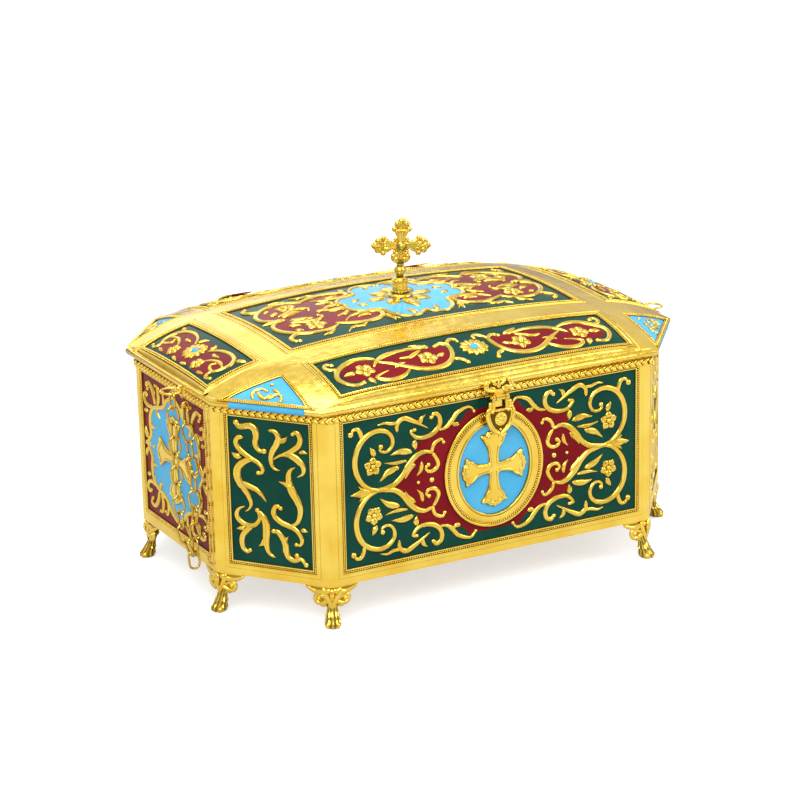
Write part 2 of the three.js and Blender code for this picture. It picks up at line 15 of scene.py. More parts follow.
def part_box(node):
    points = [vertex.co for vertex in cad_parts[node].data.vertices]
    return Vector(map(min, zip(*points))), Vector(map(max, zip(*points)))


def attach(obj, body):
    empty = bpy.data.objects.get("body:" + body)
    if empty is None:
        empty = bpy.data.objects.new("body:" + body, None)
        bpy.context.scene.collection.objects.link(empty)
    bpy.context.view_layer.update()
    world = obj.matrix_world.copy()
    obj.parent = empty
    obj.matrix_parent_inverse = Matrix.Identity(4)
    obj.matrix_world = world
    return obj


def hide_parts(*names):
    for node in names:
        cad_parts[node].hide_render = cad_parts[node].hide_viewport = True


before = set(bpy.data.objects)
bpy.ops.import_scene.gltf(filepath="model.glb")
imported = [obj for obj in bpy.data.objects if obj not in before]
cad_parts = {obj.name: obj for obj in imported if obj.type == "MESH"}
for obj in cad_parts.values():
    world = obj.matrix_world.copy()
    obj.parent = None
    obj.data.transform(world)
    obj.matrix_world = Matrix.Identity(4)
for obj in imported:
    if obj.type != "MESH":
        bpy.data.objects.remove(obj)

LOG = logging.getLogger("casket")
MM = 0.001
Y_AXIS = (0.0, 1.0, 0.0)
Array = np.ndarray
Points = list[tuple[float, float]]
Point = tuple[float, float, float]
CrossSize = tuple[float, float, float, float]


class Slot(Enum):
    """The record's material slots."""

    BRASS = "brass"
    GREEN = "enamel_green"
    RED = "enamel_red"
    BLUE = "enamel_blue"


class Body(Enum):
    """The moving bodies of the part."""

    CASKET = "casket"
    LID = "lid"
    HASP = "hasp"


class Wall(Enum):
    """The kinds of wall round the plan."""

    LONG = "long"
    CHAMFER = "chamfer"
    END = "end"


# ---- Driving dimensions, as in the part ----
HALF_X, HALF_Y = 150.0, 108.5
CHAMFER = (44.5, 57.0)
LID_CHAMFER = (42.0, 50.0)
WALL = 1.6
UNDERSIDE_Z, FLOOR_Z, SEAM_Z = 24.0, 25.6, 124.5
PANEL_Z = (33.0, 118.6)
PANEL_MIDDLE_Z = 75.8
PANEL_MARGIN = {Wall.LONG: 9.8, Wall.CHAMFER: 11.3, Wall.END: 7.9}
LID_BOTTOM_Z, ROLL_RADIUS, ROLL_OFFSET = 124.8, 2.35, 0.5
LID_SPRING_Z, LID_RISE, LID_WALL = 129.5, 23.0, 1.7
ROLL_Z = LID_BOTTOM_Z + ROLL_RADIUS
TOP_FIELD = (94.0, 44.4)
SLOPE_FIELD = (93.4, 69.0, 103.0)
END_FIELD = (44.0, 118.0, 147.0)
CORNER_FIELD = [(114.0, 70.3), (144.2, 65.5), (114.7, 100.6)]
RECESS = 0.6
BEAD_PITCH = 1.4
LEAF_STRETCH = (2.75, 0.72, 1.0)  # a braid leaf's half length, width and height
WALL_BASE, LID_BASE = -0.75, -0.72  # where raised ornament starts, just under the enamel
LID_RED, LID_BLUE = -0.47, -0.42  # the height of the lid's coloured fields against its gold
DOME_REACH = (150.5, 109.0, 36.0)  # how far in from ends, sides and cut corners the lid rises
DOME_POWER = (2, 1.8, 2)
MEDALLION_INNER, MEDALLION_OUTER = (23.3, 27.5), (32.5, 35.2)
MEDALLION_CROSS, MEDALLION_BORDER = (21.8, 23.8, 8.4, 3.5), (19.5, 21.5, 6.0, 1.9)
END_CROSS, END_BORDER = (24.6, 27.4, 8.6, 3.6), (22.2, 25.0, 6.2, 2.0)
HASP_PLATE_Y, HASP_LEAF_Y = -113.15, -114.85
STROKE_SWELL = 1.22  # how much wider a raised line is at its foot than it is drawn


def turns_of(count: int) -> Array:
    """Evenly spaced angles round a circle."""
    return np.linspace(0, 2 * math.pi, count, endpoint=False)


def direction(degrees: float) -> tuple[float, float]:
    """The cosine and sine of an angle."""
    return math.cos(math.radians(degrees)), math.sin(math.radians(degrees))


def octagon(offset: float, chamfer: tuple[float, float] = CHAMFER) -> Points:
    """The plan's corners, anticlockwise from the front wall's right end, moved outwards by an offset.

    Args:
        offset: how far outwards.
        chamfer: the cut corners' size.

    Returns:
        The eight corners.
    """
    cx, cy = chamfer
    d = math.hypot(cx, cy)
    nx, ny = cy / d, cx / d
    reach = nx * HALF_X + ny * (HALF_Y - cy) + offset
    x, y = HALF_X + offset, HALF_Y + offset
    fx, ey = (reach - ny * y) / nx, (reach - nx * x) / ny
    return [(fx, -y), (x, -ey), (x, ey), (fx, y), (-fx, y), (-x, ey), (-x, -ey), (-fx, -y)]


# ---- Meshes ----
@dataclass
class Shell:
    """Points, faces and how far each point's colour is darkened, by patina and by painted shade in hollows,
    gathered before they become one piece.
    """

    points: list[Array] = field(default_factory=list)
    patina_and_shade: list[Array] = field(default_factory=list)
    faces: list[tuple[int, ...]] = field(default_factory=list)
    count: int = 0

    def add(self, points: Array, faces: Array, patina_and_shade: Array | float = 0.0, flip: bool = False) -> None:
        """Adds points in millimetres and the faces between them.

        Args:
            points: the points, in rows or a grid.
            faces: the faces between them, by index.
            patina_and_shade: how far the colour is darkened, by patina and by painted shade.
            flip: whether the faces are turned round.
        """
        points = np.asarray(points, float).reshape(-1, 3)
        self.points.append(points)
        self.patina_and_shade.append(np.broadcast_to(np.asarray(patina_and_shade, float), (len(points),)).copy())
        order = -1 if flip else 1
        self.faces.extend(tuple(int(i) + self.count for i in f[::order]) for f in faces)
        self.count += len(points)

    def piece(self, name: str, material: Material, slot: Slot, body: Body, *replaced: str) -> Object:
        """Makes the gathered mesh a piece that rides on a body.

        Args:
            name: the piece's name.
            material: its finish.
            slot: the record's slot, passed on.
            body: the body that it moves with.
            replaced: the part's nodes that it stands for.

        Returns:
            The new object.
        """
        mesh = bpy.data.meshes.new(name)
        mesh.from_pydata((np.concatenate(self.points) * MM).tolist(), [], self.faces)
        values = np.concatenate(self.patina_and_shade).astype(np.float32)
        # The darkening attribute: patina with painted shade at the feet of raised work and in grooves.
        mesh.attributes.new("patina_and_shade", "FLOAT", "POINT").data.foreach_set("value", values)
        mesh.shade_smooth()
        mesh.set_sharp_from_angle(angle=math.radians(48))
        return finish_piece(mesh, name, material, slot, body, *replaced)


def finish_piece(mesh: Mesh, name: str, material: Material, slot: Slot, body: Body,
                 *replaced: str) -> Object:
    """Puts a mesh in the scene as a piece of the object and logs it.

    Args:
        mesh: the mesh.
        name: the new object's name.
        material: the finish.
        slot: not used.
        body: the body it moves with.
        replaced: the part's nodes it stands for.

    Returns:
        The new object.
    """
    made = bpy.data.objects.new(name, mesh)
    bpy.context.scene.collection.objects.link(made)
    mesh.materials.clear()
    mesh.materials.append(material)
    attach(made, body.value)
    if replaced:
        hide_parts(*replaced)
    LOG.info("piece %s: %d faces on %s", name, len(mesh.polygons), body.value)
    return made


def grid_faces(rows: int, columns: int, closed_rows: bool = False, closed_columns: bool = False) -> Array:
    """Quads over a grid of points, seen anticlockwise where rows run along X and columns along Y.

    Args:
        rows: the grid's rows.
        columns: the grid's columns.
        closed_rows: whether the last row joins the first.
        closed_columns: whether the last column joins the first.

    Returns:
        The quads, four indices each.
    """
    r = np.arange(rows if closed_rows else rows - 1)[:, None]
    c = np.arange(columns if closed_columns else columns - 1)[None, :]
    r2, c2 = (r + 1) % rows, (c + 1) % columns
    quads = [r * columns + c, r2 * columns + c, r2 * columns + c2, r * columns + c2]
    return np.stack([np.broadcast_to(q, (r.size, c.size)) for q in quads], -1).reshape(-1, 4)


def capped_faces(rows: int, sides: int) -> list[tuple[int, ...]]:
    """The faces of a closed bar from its rings of points, with both its ends.

    Args:
        rows: the number of rings.
        sides: the points in each ring.

    Returns:
        The faces.
    """
    last = (rows - 1) * sides
    faces = [tuple(f)[::-1] for f in grid_faces(rows, sides, closed_columns=True)]
    return [*faces, tuple(range(sides))[::-1], tuple(range(last, last + sides))]


def inside(points: Array, outline: Array) -> Array:
    """Which points lie inside a closed outline, by the even and odd rule.

    Args:
        points: the points to test.
        outline: the closed outline.

    Returns:
        True for each point inside.
    """
    x, y = points[:, 0][:, None], points[:, 1][:, None]
    a, b = outline[None, :, :], np.roll(outline, -1, 0)[None, :, :]
    spans = (a[..., 1] > y) != (b[..., 1] > y)
    rise = np.where(np.abs(b[..., 1] - a[..., 1]) < 1e-12, 1e-12, b[..., 1] - a[..., 1])
    return (np.sum(spans & (x < (b[..., 0] - a[..., 0]) * (y - a[..., 1]) / rise + a[..., 0]),
                   1) % 2).astype(bool)


def fill(outline: Array, holes: list[Array], extra: Array | None = None) -> tuple[Array, Array]:
    """Triangles inside an outline and outside its holes.

    Args:
        outline: the closed outline, n by 2.
        holes: closed outlines to leave open.
        extra: further points for the triangles to use.

    Returns:
        The points, n by 2, and the triangles, m by 3, anticlockwise.
    """
    loops = [outline, *holes]
    points, edges, start = [], [], 0
    for loop in loops:
        points.extend(loop.tolist())
        edges.extend((start + i, start + (i + 1) % len(loop)) for i in range(len(loop)))
        start += len(loop)
    if extra is not None and len(extra):
        points.extend(extra.tolist())
    made = delaunay_2d_cdt([Vector(p) for p in points], edges, [], 0, 1e-5)
    flat = np.array([tuple(v) for v in made[0]], float)
    triangles = np.array([f for f in made[2] if len(f) == 3], int)
    centres = flat[triangles].mean(1)
    keep = inside(centres, outline)
    for hole in holes:
        keep &= ~inside(centres, hole)
    triangles = triangles[keep]
    a, b, c = flat[triangles[:, 0]], flat[triangles[:, 1]], flat[triangles[:, 2]]
    turned = (b[:, 0] - a[:, 0]) * (c[:, 1] - a[:, 1]) - (b[:, 1] - a[:, 1]) * (c[:, 0] - a[:, 0]) < 0
    triangles[turned] = triangles[turned][:, ::-1]
    return flat, triangles


def grid_points(low: tuple[float, float], high: tuple[float, float], step: float) -> Array:
    """A staggered grid of points over a rectangle.

    Args:
        low: the lowest corner.
        high: the highest corner.
        step: the spacing.

    Returns:
        The points, n by 2.
    """
    x, y = np.meshgrid(np.arange(low[0], high[0], step), np.arange(low[1], high[1], step))
    x = x + (np.round(y / step) % 2) * step / 2
    return np.stack([x.ravel(), y.ravel()], -1)


# ---- Surfaces that ornament is laid on ----
class Surface:
    """A surface with its own two directions and a height above it."""

    def place(self, u: Array, v: Array, w: Array | float) -> Array:
        """The point in space of a place on the surface and a height above it."""
        raise NotImplementedError


@dataclass(frozen=True)
class Plane(Surface):
    """An upright plane: u along it, v the height from the ground, w outwards."""

    origin: tuple[float, float]
    along: tuple[float, float]

    @property
    def out(self) -> tuple[float, float]:
        """The direction outwards in plan."""
        return (self.along[1], -self.along[0])

    def place(self, u: Array, v: Array, w: Array | float) -> Array:
        """The point in space of a place on the plane and a height above it.

        Args:
            u: the place along the surface.
            v: the height from the ground.
            w: the height above it.

        Returns:
            The points in space.
        """
        u, v, w = np.broadcast_arrays(np.asarray(u, float), v, w)
        (ox, oy), (ax, ay), (nx, ny) = self.origin, self.along, self.out
        return np.stack([ox + u * ax + w * nx, oy + u * ay + w * ny, v], -1)


def swell(inset: Array, reach: float, power: float) -> Array:
    """A rise from 0 at the edge to 1 at a distance in from it."""
    share = np.clip(inset / reach, 0, 1)
    return (1 - (1 - share) ** power) ** (1 / power)


@dataclass(frozen=True)
class Dome(Surface):
    """The lid's pillow: u and v are the plan's X and Y, w stands square to the surface."""

    drop: float = 0.0

    def height(self, x: Array, y: Array) -> Array:
        """The dome's height over a place in plan.

        Args:
            x: the place in X.
            y: the place in Y.

        Returns:
            The heights.
        """
        cx, cy = LID_CHAMFER
        d = math.hypot(cx, cy)
        nx, ny = cy / d, cx / d
        ax, ay = np.abs(x), np.abs(y)
        slant = nx * HALF_X + ny * (HALF_Y - cy) + ROLL_OFFSET - nx * ax - ny * ay
        insets = (HALF_X + ROLL_OFFSET - ax, HALF_Y + ROLL_OFFSET - ay, slant)
        along, aside, corner = (swell(*each) for each in zip(insets, DOME_REACH, DOME_POWER))
        return LID_SPRING_Z + LID_RISE * (along * aside) * corner - self.drop

    def place(self, u: Array, v: Array, w: Array | float) -> Array:
        """The point in space of a place on the dome and a height above it.

        Args:
            u: the plan's X.
            v: the plan's Y.
            w: the height above it.

        Returns:
            The points in space.
        """
        x, y, w = np.broadcast_arrays(np.asarray(u, float), np.asarray(v, float), w)
        step = 0.2
        z = self.height(x, y)
        sx = np.clip((self.height(x + step, y) - self.height(x - step, y)) / (2 * step), -1.2, 1.2)
        sy = np.clip((self.height(x, y + step) - self.height(x, y - step)) / (2 * step), -1.2, 1.2)
        length = np.sqrt(sx * sx + sy * sy + 1)
        return np.stack([x - w * sx / length, y - w * sy / length, z + w / length], -1)


@dataclass(frozen=True)
class Spot:
    """Where a design is laid: a surface, the turn or mirror of the design's axes, and its shift."""

    surface: Surface
    axes: tuple[float, float, float, float] = (1.0, 0.0, 0.0, 1.0)
    shift: tuple[float, float] = (0.0, 0.0)

    @property
    def flip(self) -> bool:
        """Whether the design is mirrored."""
        return self.axes[0] * self.axes[3] - self.axes[1] * self.axes[2] < 0

    def place(self, flat: Array, w: Array | float) -> Array:
        """The points in space of a design's points at a height above the surface.

        Args:
            flat: the design's points.
            w: the height above it.

        Returns:
            The points in space.
        """
        a, b, c, d = self.axes
        u = a * flat[..., 0] + b * flat[..., 1] + self.shift[0]
        v = c * flat[..., 0] + d * flat[..., 1] + self.shift[1]
        return self.surface.place(u, v, w)


# ---- Drawn lines ----
def smooth(points: Points, step: float = 0.9, closed: bool = False) -> Array:
    """Evenly spaced points on a smooth line through the given ones.

    Args:
        points: the points to pass through.
        step: the distance between samples.
        closed: whether the line comes back to its start.

    Returns:
        The samples, one row a point.
    """
    p = np.asarray(points, float)
    if closed:
        p = np.concatenate([p[-1:], p, p[:2]])
    else:
        p = np.concatenate([2 * p[:1] - p[1:2], p, 2 * p[-1:] - p[-2:-1]])
    made = []
    for i in range(1, len(p) - 2):
        p0, p1, p2, p3 = p[i - 1], p[i], p[i + 1], p[i + 2]
        k0 = 0.0
        k1 = k0 + max(np.linalg.norm(p1 - p0), 1e-6) ** 0.5
        k2 = k1 + max(np.linalg.norm(p2 - p1), 1e-6) ** 0.5
        k3 = k2 + max(np.linalg.norm(p3 - p2), 1e-6) ** 0.5
        t = np.linspace(k1, k2, 12, endpoint=False)[:, None]
        a1 = (k1 - t) / (k1 - k0) * p0 + (t - k0) / (k1 - k0) * p1
        a2 = (k2 - t) / (k2 - k1) * p1 + (t - k1) / (k2 - k1) * p2
        a3 = (k3 - t) / (k3 - k2) * p2 + (t - k2) / (k3 - k2) * p3
        b1 = (k2 - t) / (k2 - k0) * a1 + (t - k0) / (k2 - k0) * a2
        b2 = (k3 - t) / (k3 - k1) * a2 + (t - k1) / (k3 - k1) * a3
        made.append((k2 - t) / (k2 - k1) * b1 + (t - k1) / (k2 - k1) * b2)
    made.append(p[-2:-1])
    line = np.concatenate(made)
    length = np.concatenate([[0], np.cumsum(np.linalg.norm(np.diff(line, axis=0), axis=1))])
    count = max(4, int(round(length[-1] / step)) + 1)
    at = np.linspace(0, length[-1], count)
    if closed:
        at = at[:-1]
    return np.stack([np.interp(at, length, line[:, k]) for k in range(line.shape[1])], -1)


class Section(Enum):
    """The shape across a raised line: heights from its left edge to its right, and how far its colour is
    darkened there, by painted shade and patina at its feet and in its middle groove.
    """

    ROUND = ((0, 0.56, 0.9, 1, 0.9, 0.56, 0), (1, 0.3, 0, 0, 0, 0.3, 1))
    VEIN = ((0, 0.62, 1, 0.8, 0.92, 0.56, 0), (1, 0.3, 0, 0.3, 0, 0.3, 1))


ACROSS = np.array([-1, -0.84, -0.45, 0, 0.45, 0.84, 1.0])


@dataclass(frozen=True)
class Stroke:
    """A raised line of a design: its points, width, how far its ends thin out, and its section."""

    points: Points
    width: float
    ends: tuple[float, float] = (0.6, 0.35)
    section: Section = Section.ROUND
    blob: float = 0.0
    height: float = 0.0

    def lay(self, shell: Shell, spot: Spot, base: float) -> None:
        """Adds the line to a shell, on a spot, rising from a base height.

        Args:
            shell: the shell to add to.
            spot: where it is laid.
            base: the height it rises from.
        """
        line = smooth(self.points, max(0.8, self.width * 0.3))
        count = len(line)
        tangent = np.gradient(line, axis=0)
        tangent /= np.maximum(np.linalg.norm(tangent, axis=1, keepdims=True), 1e-9)
        left = np.stack([-tangent[:, 1], tangent[:, 0]], -1)
        t = np.linspace(0, 1, count)
        start, end = self.ends
        grown = np.clip(t / 0.4, 0, 1)
        shrunk = np.clip((t - 0.45) / 0.55, 0, 1)
        opening = start + (1 - start) * grown * (2 - grown)
        half = self.width * STROKE_SWELL / 2 * opening * (1 + (end - 1) * shrunk ** 1.4)
        along = np.concatenate([[0], np.cumsum(np.linalg.norm(np.diff(line, axis=0), axis=1))])
        near = np.minimum(along, along[-1] - along) / np.maximum(half, 0.05)
        cap = np.sqrt(np.clip(1 - (1 - np.clip(near, 0.02, 1)) ** 2, 0.01, 1))
        half = half * cap
        rise = self.height or min(1.5, 0.5 + 0.24 * self.width)
        rise = rise * np.clip(half / (self.width / 2), 0.05, 1) ** 0.6
        # The second row darkens the line's feet and groove: painted shade with patina.
        heights, patina_and_shade = (np.array(row, float) for row in self.section.value)
        flat = line[:, None, :] + left[:, None, :] * (half[:, None] * ACROSS[None, :])[..., None]
        w = base + rise[:, None] * heights[None, :]
        shell.add(spot.place(flat, w), grid_faces(count, len(ACROSS)), np.tile(patina_and_shade, count), spot.flip)
        if self.blob:
            Dot(self.points[-1], self.blob).lay(shell, spot, base)


@dataclass(frozen=True)
class Dot:
    """A round boss, or an oval one."""

    middle: tuple[float, float]
    radius: float
    stretch: tuple[float, float] = (1.0, 1.0)
    height: float = 0.0

    def lay(self, shell: Shell, spot: Spot, base: float) -> None:
        """Adds the boss to a shell, on a spot, rising from a base height.

        Args:
            shell: the shell to add to.
            spot: where it is laid.
            base: the height it rises from.
        """
        turns = turns_of(12)
        steps = np.array([0.02, 0.45, 0.8, 1.0])
        rise = self.height or min(1.8, 0.6 + 0.5 * self.radius)
        reach = self.radius * steps[:, None, None] * np.array(self.stretch)
        flat = np.array(self.middle) + reach * np.stack([np.cos(turns), np.sin(turns)], -1)[None]
        w = base + rise * np.sqrt(np.clip(1 - steps ** 2, 0, 1))[:, None] + np.zeros(12)
        # Darker at the boss's foot: painted shade with patina.
        patina_and_shade = np.repeat([0, 0, 0.2, 1.0], 12)
        shell.add(spot.place(flat, w), grid_faces(4, 12, closed_columns=True), patina_and_shade, spot.flip)


@dataclass(frozen=True)
class Flower:
    """Petals round a boss."""

    middle: tuple[float, float]
    radius: float
    petals: int = 5
    turn: float = 90.0
    squeeze: tuple[float, float] = (1.0, 1.0)
    boss: float = 0.3

    def lay(self, shell: Shell, spot: Spot, base: float) -> None:
        """Adds the flower to a shell, on a spot, rising from a base height.

        Args:
            shell: the shell to add to.
            spot: where it is laid.
            base: the height it rises from.
        """
        cx, cy = self.middle
        sx, sy = self.squeeze
        width = 2 * self.radius * math.sin(math.pi / self.petals) * 0.74
        for k in range(self.petals):
            angle = math.radians(self.turn + 360 * k / self.petals)
            c, s = math.cos(angle) * sx, math.sin(angle) * sy
            reach = [(cx + c * self.radius * q, cy + s * self.radius * q) for q in (0.22, 0.6, 1.0)]
            Stroke(reach, width, (0.45, 0.85), Section.VEIN, height=1.25).lay(shell, spot, base)
        if self.boss:
            Dot(self.middle, self.radius * self.boss, self.squeeze, 1.7).lay(shell, spot, base)


def leaf(start: tuple[float, float], tip: tuple[float, float], width: float, bow: float = 0.0) -> Stroke:
    """A pointed leaf from its foot to its tip, bowed to its left.

    Args:
        start: its foot.
        tip: its tip.
        width: the widest part.
        bow: how far it bows, as a share of its length.

    Returns:
        The leaf as a raised line.
    """
    (x0, y0), (x1, y1) = start, tip
    mx, my = (x0 + x1) / 2 - (y1 - y0) * bow, (y0 + y1) / 2 + (x1 - x0) * bow
    return Stroke([start, (mx, my), tip], width, (0.55, 0.12), Section.VEIN)


Ornament = Stroke | Dot | Flower


def loop_edges(outline: Array, grow: float) -> Array:
    """A convex outline, anticlockwise, with each side moved outwards.

    Args:
        outline: the closed outline.
        grow: how far each side moves.

    Returns:
        The new outline.
    """
    ahead = np.roll(outline, -1, 0) - outline
    ahead /= np.linalg.norm(ahead, axis=1, keepdims=True)
    out = np.stack([ahead[:, 1], -ahead[:, 0]], -1)
    before = np.roll(out, 1, 0)
    mitre = (out + before) / (1 + np.sum(out * before, 1, keepdims=True))
    return outline + mitre * grow


def divided(outline: Array, base: Array, step: float) -> Array:
    """An outline with its sides divided as the base outline's sides need.

    Args:
        outline: the outline to divide.
        base: the outline that sets the numbers of parts.
        step: the longest part.

    Returns:
        The divided outline.
    """
    made = []
    for i in range(len(base)):
        parts = max(1, int(math.ceil(np.linalg.norm(base[(i + 1) % len(base)] - base[i]) / step)))
        share = np.linspace(0, 1, parts, endpoint=False)[:, None]
        made.append(outline[i] * (1 - share) + outline[(i + 1) % len(base)] * share)
    return np.concatenate(made)


def mouldings(shell: Shell, spot: Spot, outline: Array, rings: list[Point], step: float,
              last: Array | None = None) -> None:
    """A moulded frame round an outline.

    Args:
        shell: the shell to add to.
        spot: where the outline lies.
        outline: the inner outline, convex and anticlockwise.
        rings: distance outwards, height and darkening of each ring of points, from inside to outside; the
            darkening is patina with painted shade in the grooves and at the foot.
        step: the longest face along a side.
        last: an outline for the outermost ring, at height 0, if it isn't an even distance out.
    """
    loops = [divided(loop_edges(outline, out), outline, step) for out, _, _ in rings]
    heights, patina_and_shade = [w for _, w, _ in rings], [p for _, _, p in rings]
    if last is not None:
        loops.append(divided(last, outline, step))
        heights.append(0.0)
        patina_and_shade.append(0.0)
    count = len(loops[0])
    points = np.stack([spot.place(loop, w) for loop, w in zip(loops, heights)])
    shell.add(points, grid_faces(len(loops), count, closed_columns=True), np.repeat(patina_and_shade, count),
              spot.flip)


def plate(shell: Shell, spot: Spot, outline: Array, w: float, step: float = 0.0) -> None:
    """A filled outline at one height above a surface, with inner points where the surface is curved.

    Args:
        shell: the shell to add to.
        spot: where it is laid.
        outline: the closed outline.
        w: the height above it.
        step: the spacing of the inner points, or 0 for none.
    """
    extra = None
    if step:
        extra = grid_points(tuple(outline.min(0)), tuple(outline.max(0)), step)
        extra = extra[inside(extra, outline)]
    flat, triangles = fill(outline, [], extra)
    shell.add(spot.place(flat, w), triangles, 0.0, spot.flip)


def raised(shell: Shell, spot: Spot, outline: Array, low: float, high: float, slope: float) -> None:
    """A filled outline that stands up from a surface on sloping sides.

    Args:
        shell: the shell to add to.
        spot: where it is laid.
        outline: the closed outline.
        low: the height of its foot.
        high: the height of its face.
        slope: how far its sides slope in.
    """
    ahead = np.roll(outline, -1, 0) - np.roll(outline, 1, 0)
    ahead /= np.maximum(np.linalg.norm(ahead, axis=1, keepdims=True), 1e-9)
    inner = outline - np.stack([ahead[:, 1], -ahead[:, 0]], -1) * slope
    flat, triangles = fill(inner, [])
    shell.add(spot.place(flat, high), triangles, 0.0, spot.flip)
    middle = outline * 0.35 + inner * 0.65
    points = np.stack([spot.place(inner, high), spot.place(middle, high - (high - low) * 0.25),
                       spot.place(outline, low)])
    # Darker at the foot of the sloping sides: painted shade with patina.
    patina_and_shade = np.repeat([0, 0, 1.0], len(outline))
    shell.add(points, grid_faces(3, len(outline), closed_columns=True), patina_and_shade, spot.flip)


def oval(rx: float, ry: float, count: int = 72) -> Array:
    """An oval's points, anticlockwise."""
    turns = turns_of(count)
    return np.stack([rx * np.cos(turns), ry * np.sin(turns)], -1)


def rectangle(x0: float, y0: float, x1: float, y1: float) -> Array:
    """A rectangle's corners, anticlockwise."""
    return np.array([(x0, y0), (x1, y0), (x1, y1), (x0, y1)], float)


def mirrored(quarter: Points) -> Array:
    """A closed outline from its part in the first quarter, given from the X axis round to the Y axis.

    Args:
        quarter: the quarter's points.

    Returns:
        The whole outline.
    """
    q = [tuple(p) for p in quarter]
    half = q + [(-x, y) for x, y in reversed(q)]
    whole = half + [(x, -y) for x, y in reversed(half)]
    kept = [p for i, p in enumerate(whole) if math.dist(p, whole[i - 1]) > 0.01]
    return np.array(kept, float)


def cross_outline(arm_x: float, arm_y: float, flare: float, waist: float) -> Array:
    """A flared cross with three-lobed, pointed ends.

    Args:
        arm_x: the reach of the side arms.
        arm_y: the reach of the upright arms.
        flare: the arms' widest half.
        waist: half the width at the middle.

    Returns:
        The outline.
    """
    def arm(reach: float) -> Points:
        """One arm's outline, from its right-hand root to its left-hand one.

        Args:
            reach: the arm's length.

        Returns:
            The arm's points.
        """
        k = flare / 7.5
        right = [(waist, waist), (waist * 0.98, reach * 0.30), (waist * 1.15, reach * 0.45),
                 (waist * 1.5, reach * 0.58), (5.9 * k, reach * 0.68), (7.2 * k, reach * 0.76),
                 (7.9 * k, reach * 0.82), (7.0 * k, reach * 0.87), (5.4 * k, reach * 0.87),
                 (4.4 * k, reach * 0.89), (3.9 * k, reach * 0.93), (2.8 * k, reach * 0.95),
                 (1.3 * k, reach * 0.965)]
        return right + [(0, reach)] + [(-x, y) for x, y in reversed(right[1:])]
    made = []
    for i, reach in enumerate([arm_y, arm_x, arm_y, arm_x]):
        c, s = math.cos(i * math.pi / 2), math.sin(i * math.pi / 2)
        made += [(x * c - y * s, x * s + y * c) for x, y in arm(reach)]
    return np.array(made, float)


# ---- Designs ----
S, V = Section.ROUND, Section.VEIN

FRONT_QUARTER: list[Ornament] = [
    Stroke([(39.7, 16), (44.7, 17.5), (49.7, 16), (54.7, 11.5), (58.7, 6), (63.7, 2), (69.7, 0.5), (76, 0)],
           3.3, (0.5, 0.7), V),
    Stroke([(74, 0), (80, 2), (85, 6.5), (88, 12.5), (88.8, 18.5), (87.5, 25), (84.5, 30), (80, 33.5),
            (74.5, 35), (69, 33.8), (65.5, 30.5), (64.7, 26.5), (66.7, 22.7), (70, 21.7), (72.8, 23.2),
            (72.3, 25.3)], 3.2, (0.6, 0.5), V, 1.7),
    Stroke([(84, 30), (84.5, 34.5), (86.5, 38), (89, 38), (91, 35.5)], 2.5, (0.6, 0.5), S, 2.0),
    Stroke([(39.7, 16), (37, 12), (36, 8.5), (38.5, 5.5), (42.5, 5.5), (44, 8), (42.3, 9.3)], 2.4,
           (0.7, 0.6), S, 1.5),
    Stroke([(40, 16), (39, 20), (36.5, 22.3), (33.5, 23), (32.3, 21)], 2.2, (0.8, 0.6), S, 1.3),
    leaf((51, 11.5), (57.5, 3.6), 3.4, 0.12), leaf((46.5, 12), (50, 4), 2.4, -0.15),
    leaf((79, 0), (86.8, 4.5), 2.6, -0.1), Flower((77.5, 14.5), 5.5), leaf((76, 20.5), (79, 26), 3.2),
    leaf((52.5, 18.8), (66.5, 19.4), 3.5, 0.08), leaf((56, 14.5), (70.5, 15.4), 2.2, -0.06), leaf((61, 11.5),
            (73.5, 5), 3.5, 0.1),
    Stroke([(62, 32), (61.5, 37), (57.7, 39.5), (52.7, 37.5), (47.7, 34.5), (42, 31)], 2.9, (0.6, 0.25), V),
    leaf((47, 34.2), (43.6, 39.4), 2.5, -0.2),
    Stroke([(39.7, 36.5), (38.2, 39), (35.2, 37.5), (34.2, 33.5), (35.7, 30), (38.7, 27.5), (43.7, 26),
            (48.7, 26.5), (51.7, 28.5), (53.2, 31), (50.7, 31.5)], 2.8, (0.8, 0.6), V, 1.3),
    leaf((50.6, 25.6), (50.4, 19.6), 3.4, 0.05), Dot((40, 37), 1.5),
    Stroke([(35.2, 28.5), (30.7, 29.5), (26.7, 33), (23.7, 36.5), (19.7, 38.5), (15, 39), (12.3, 36)], 2.7,
           (0.5, 0.5), V, 1.2),
    leaf((22, 30.4), (27.2, 32), 2.8, -0.2), Stroke([(60, 38), (65, 37.6), (70, 38.8), (74, 38)], 2.0,
            (0.7, 0.3), S),
]
FRONT_AXIS: list[Ornament] = [Dot((40.3, 0), 1.8), leaf((79, 0), (92, 0), 4.2), Dot((49, 0), 1.2)]
FRONT_RED: Points = [(67.5, 0), (63.7, 2), (58.7, 6), (54.7, 11.5), (50, 14.5), (49.4, 18.5), (50.5, 22.5),
                     (46, 24.8), (40, 26.5), (36, 29.5), (30, 29), (24, 31), (19, 33.4), (17.6, 36.4),
                     (12, 36.8), (0.05, 36.8)]

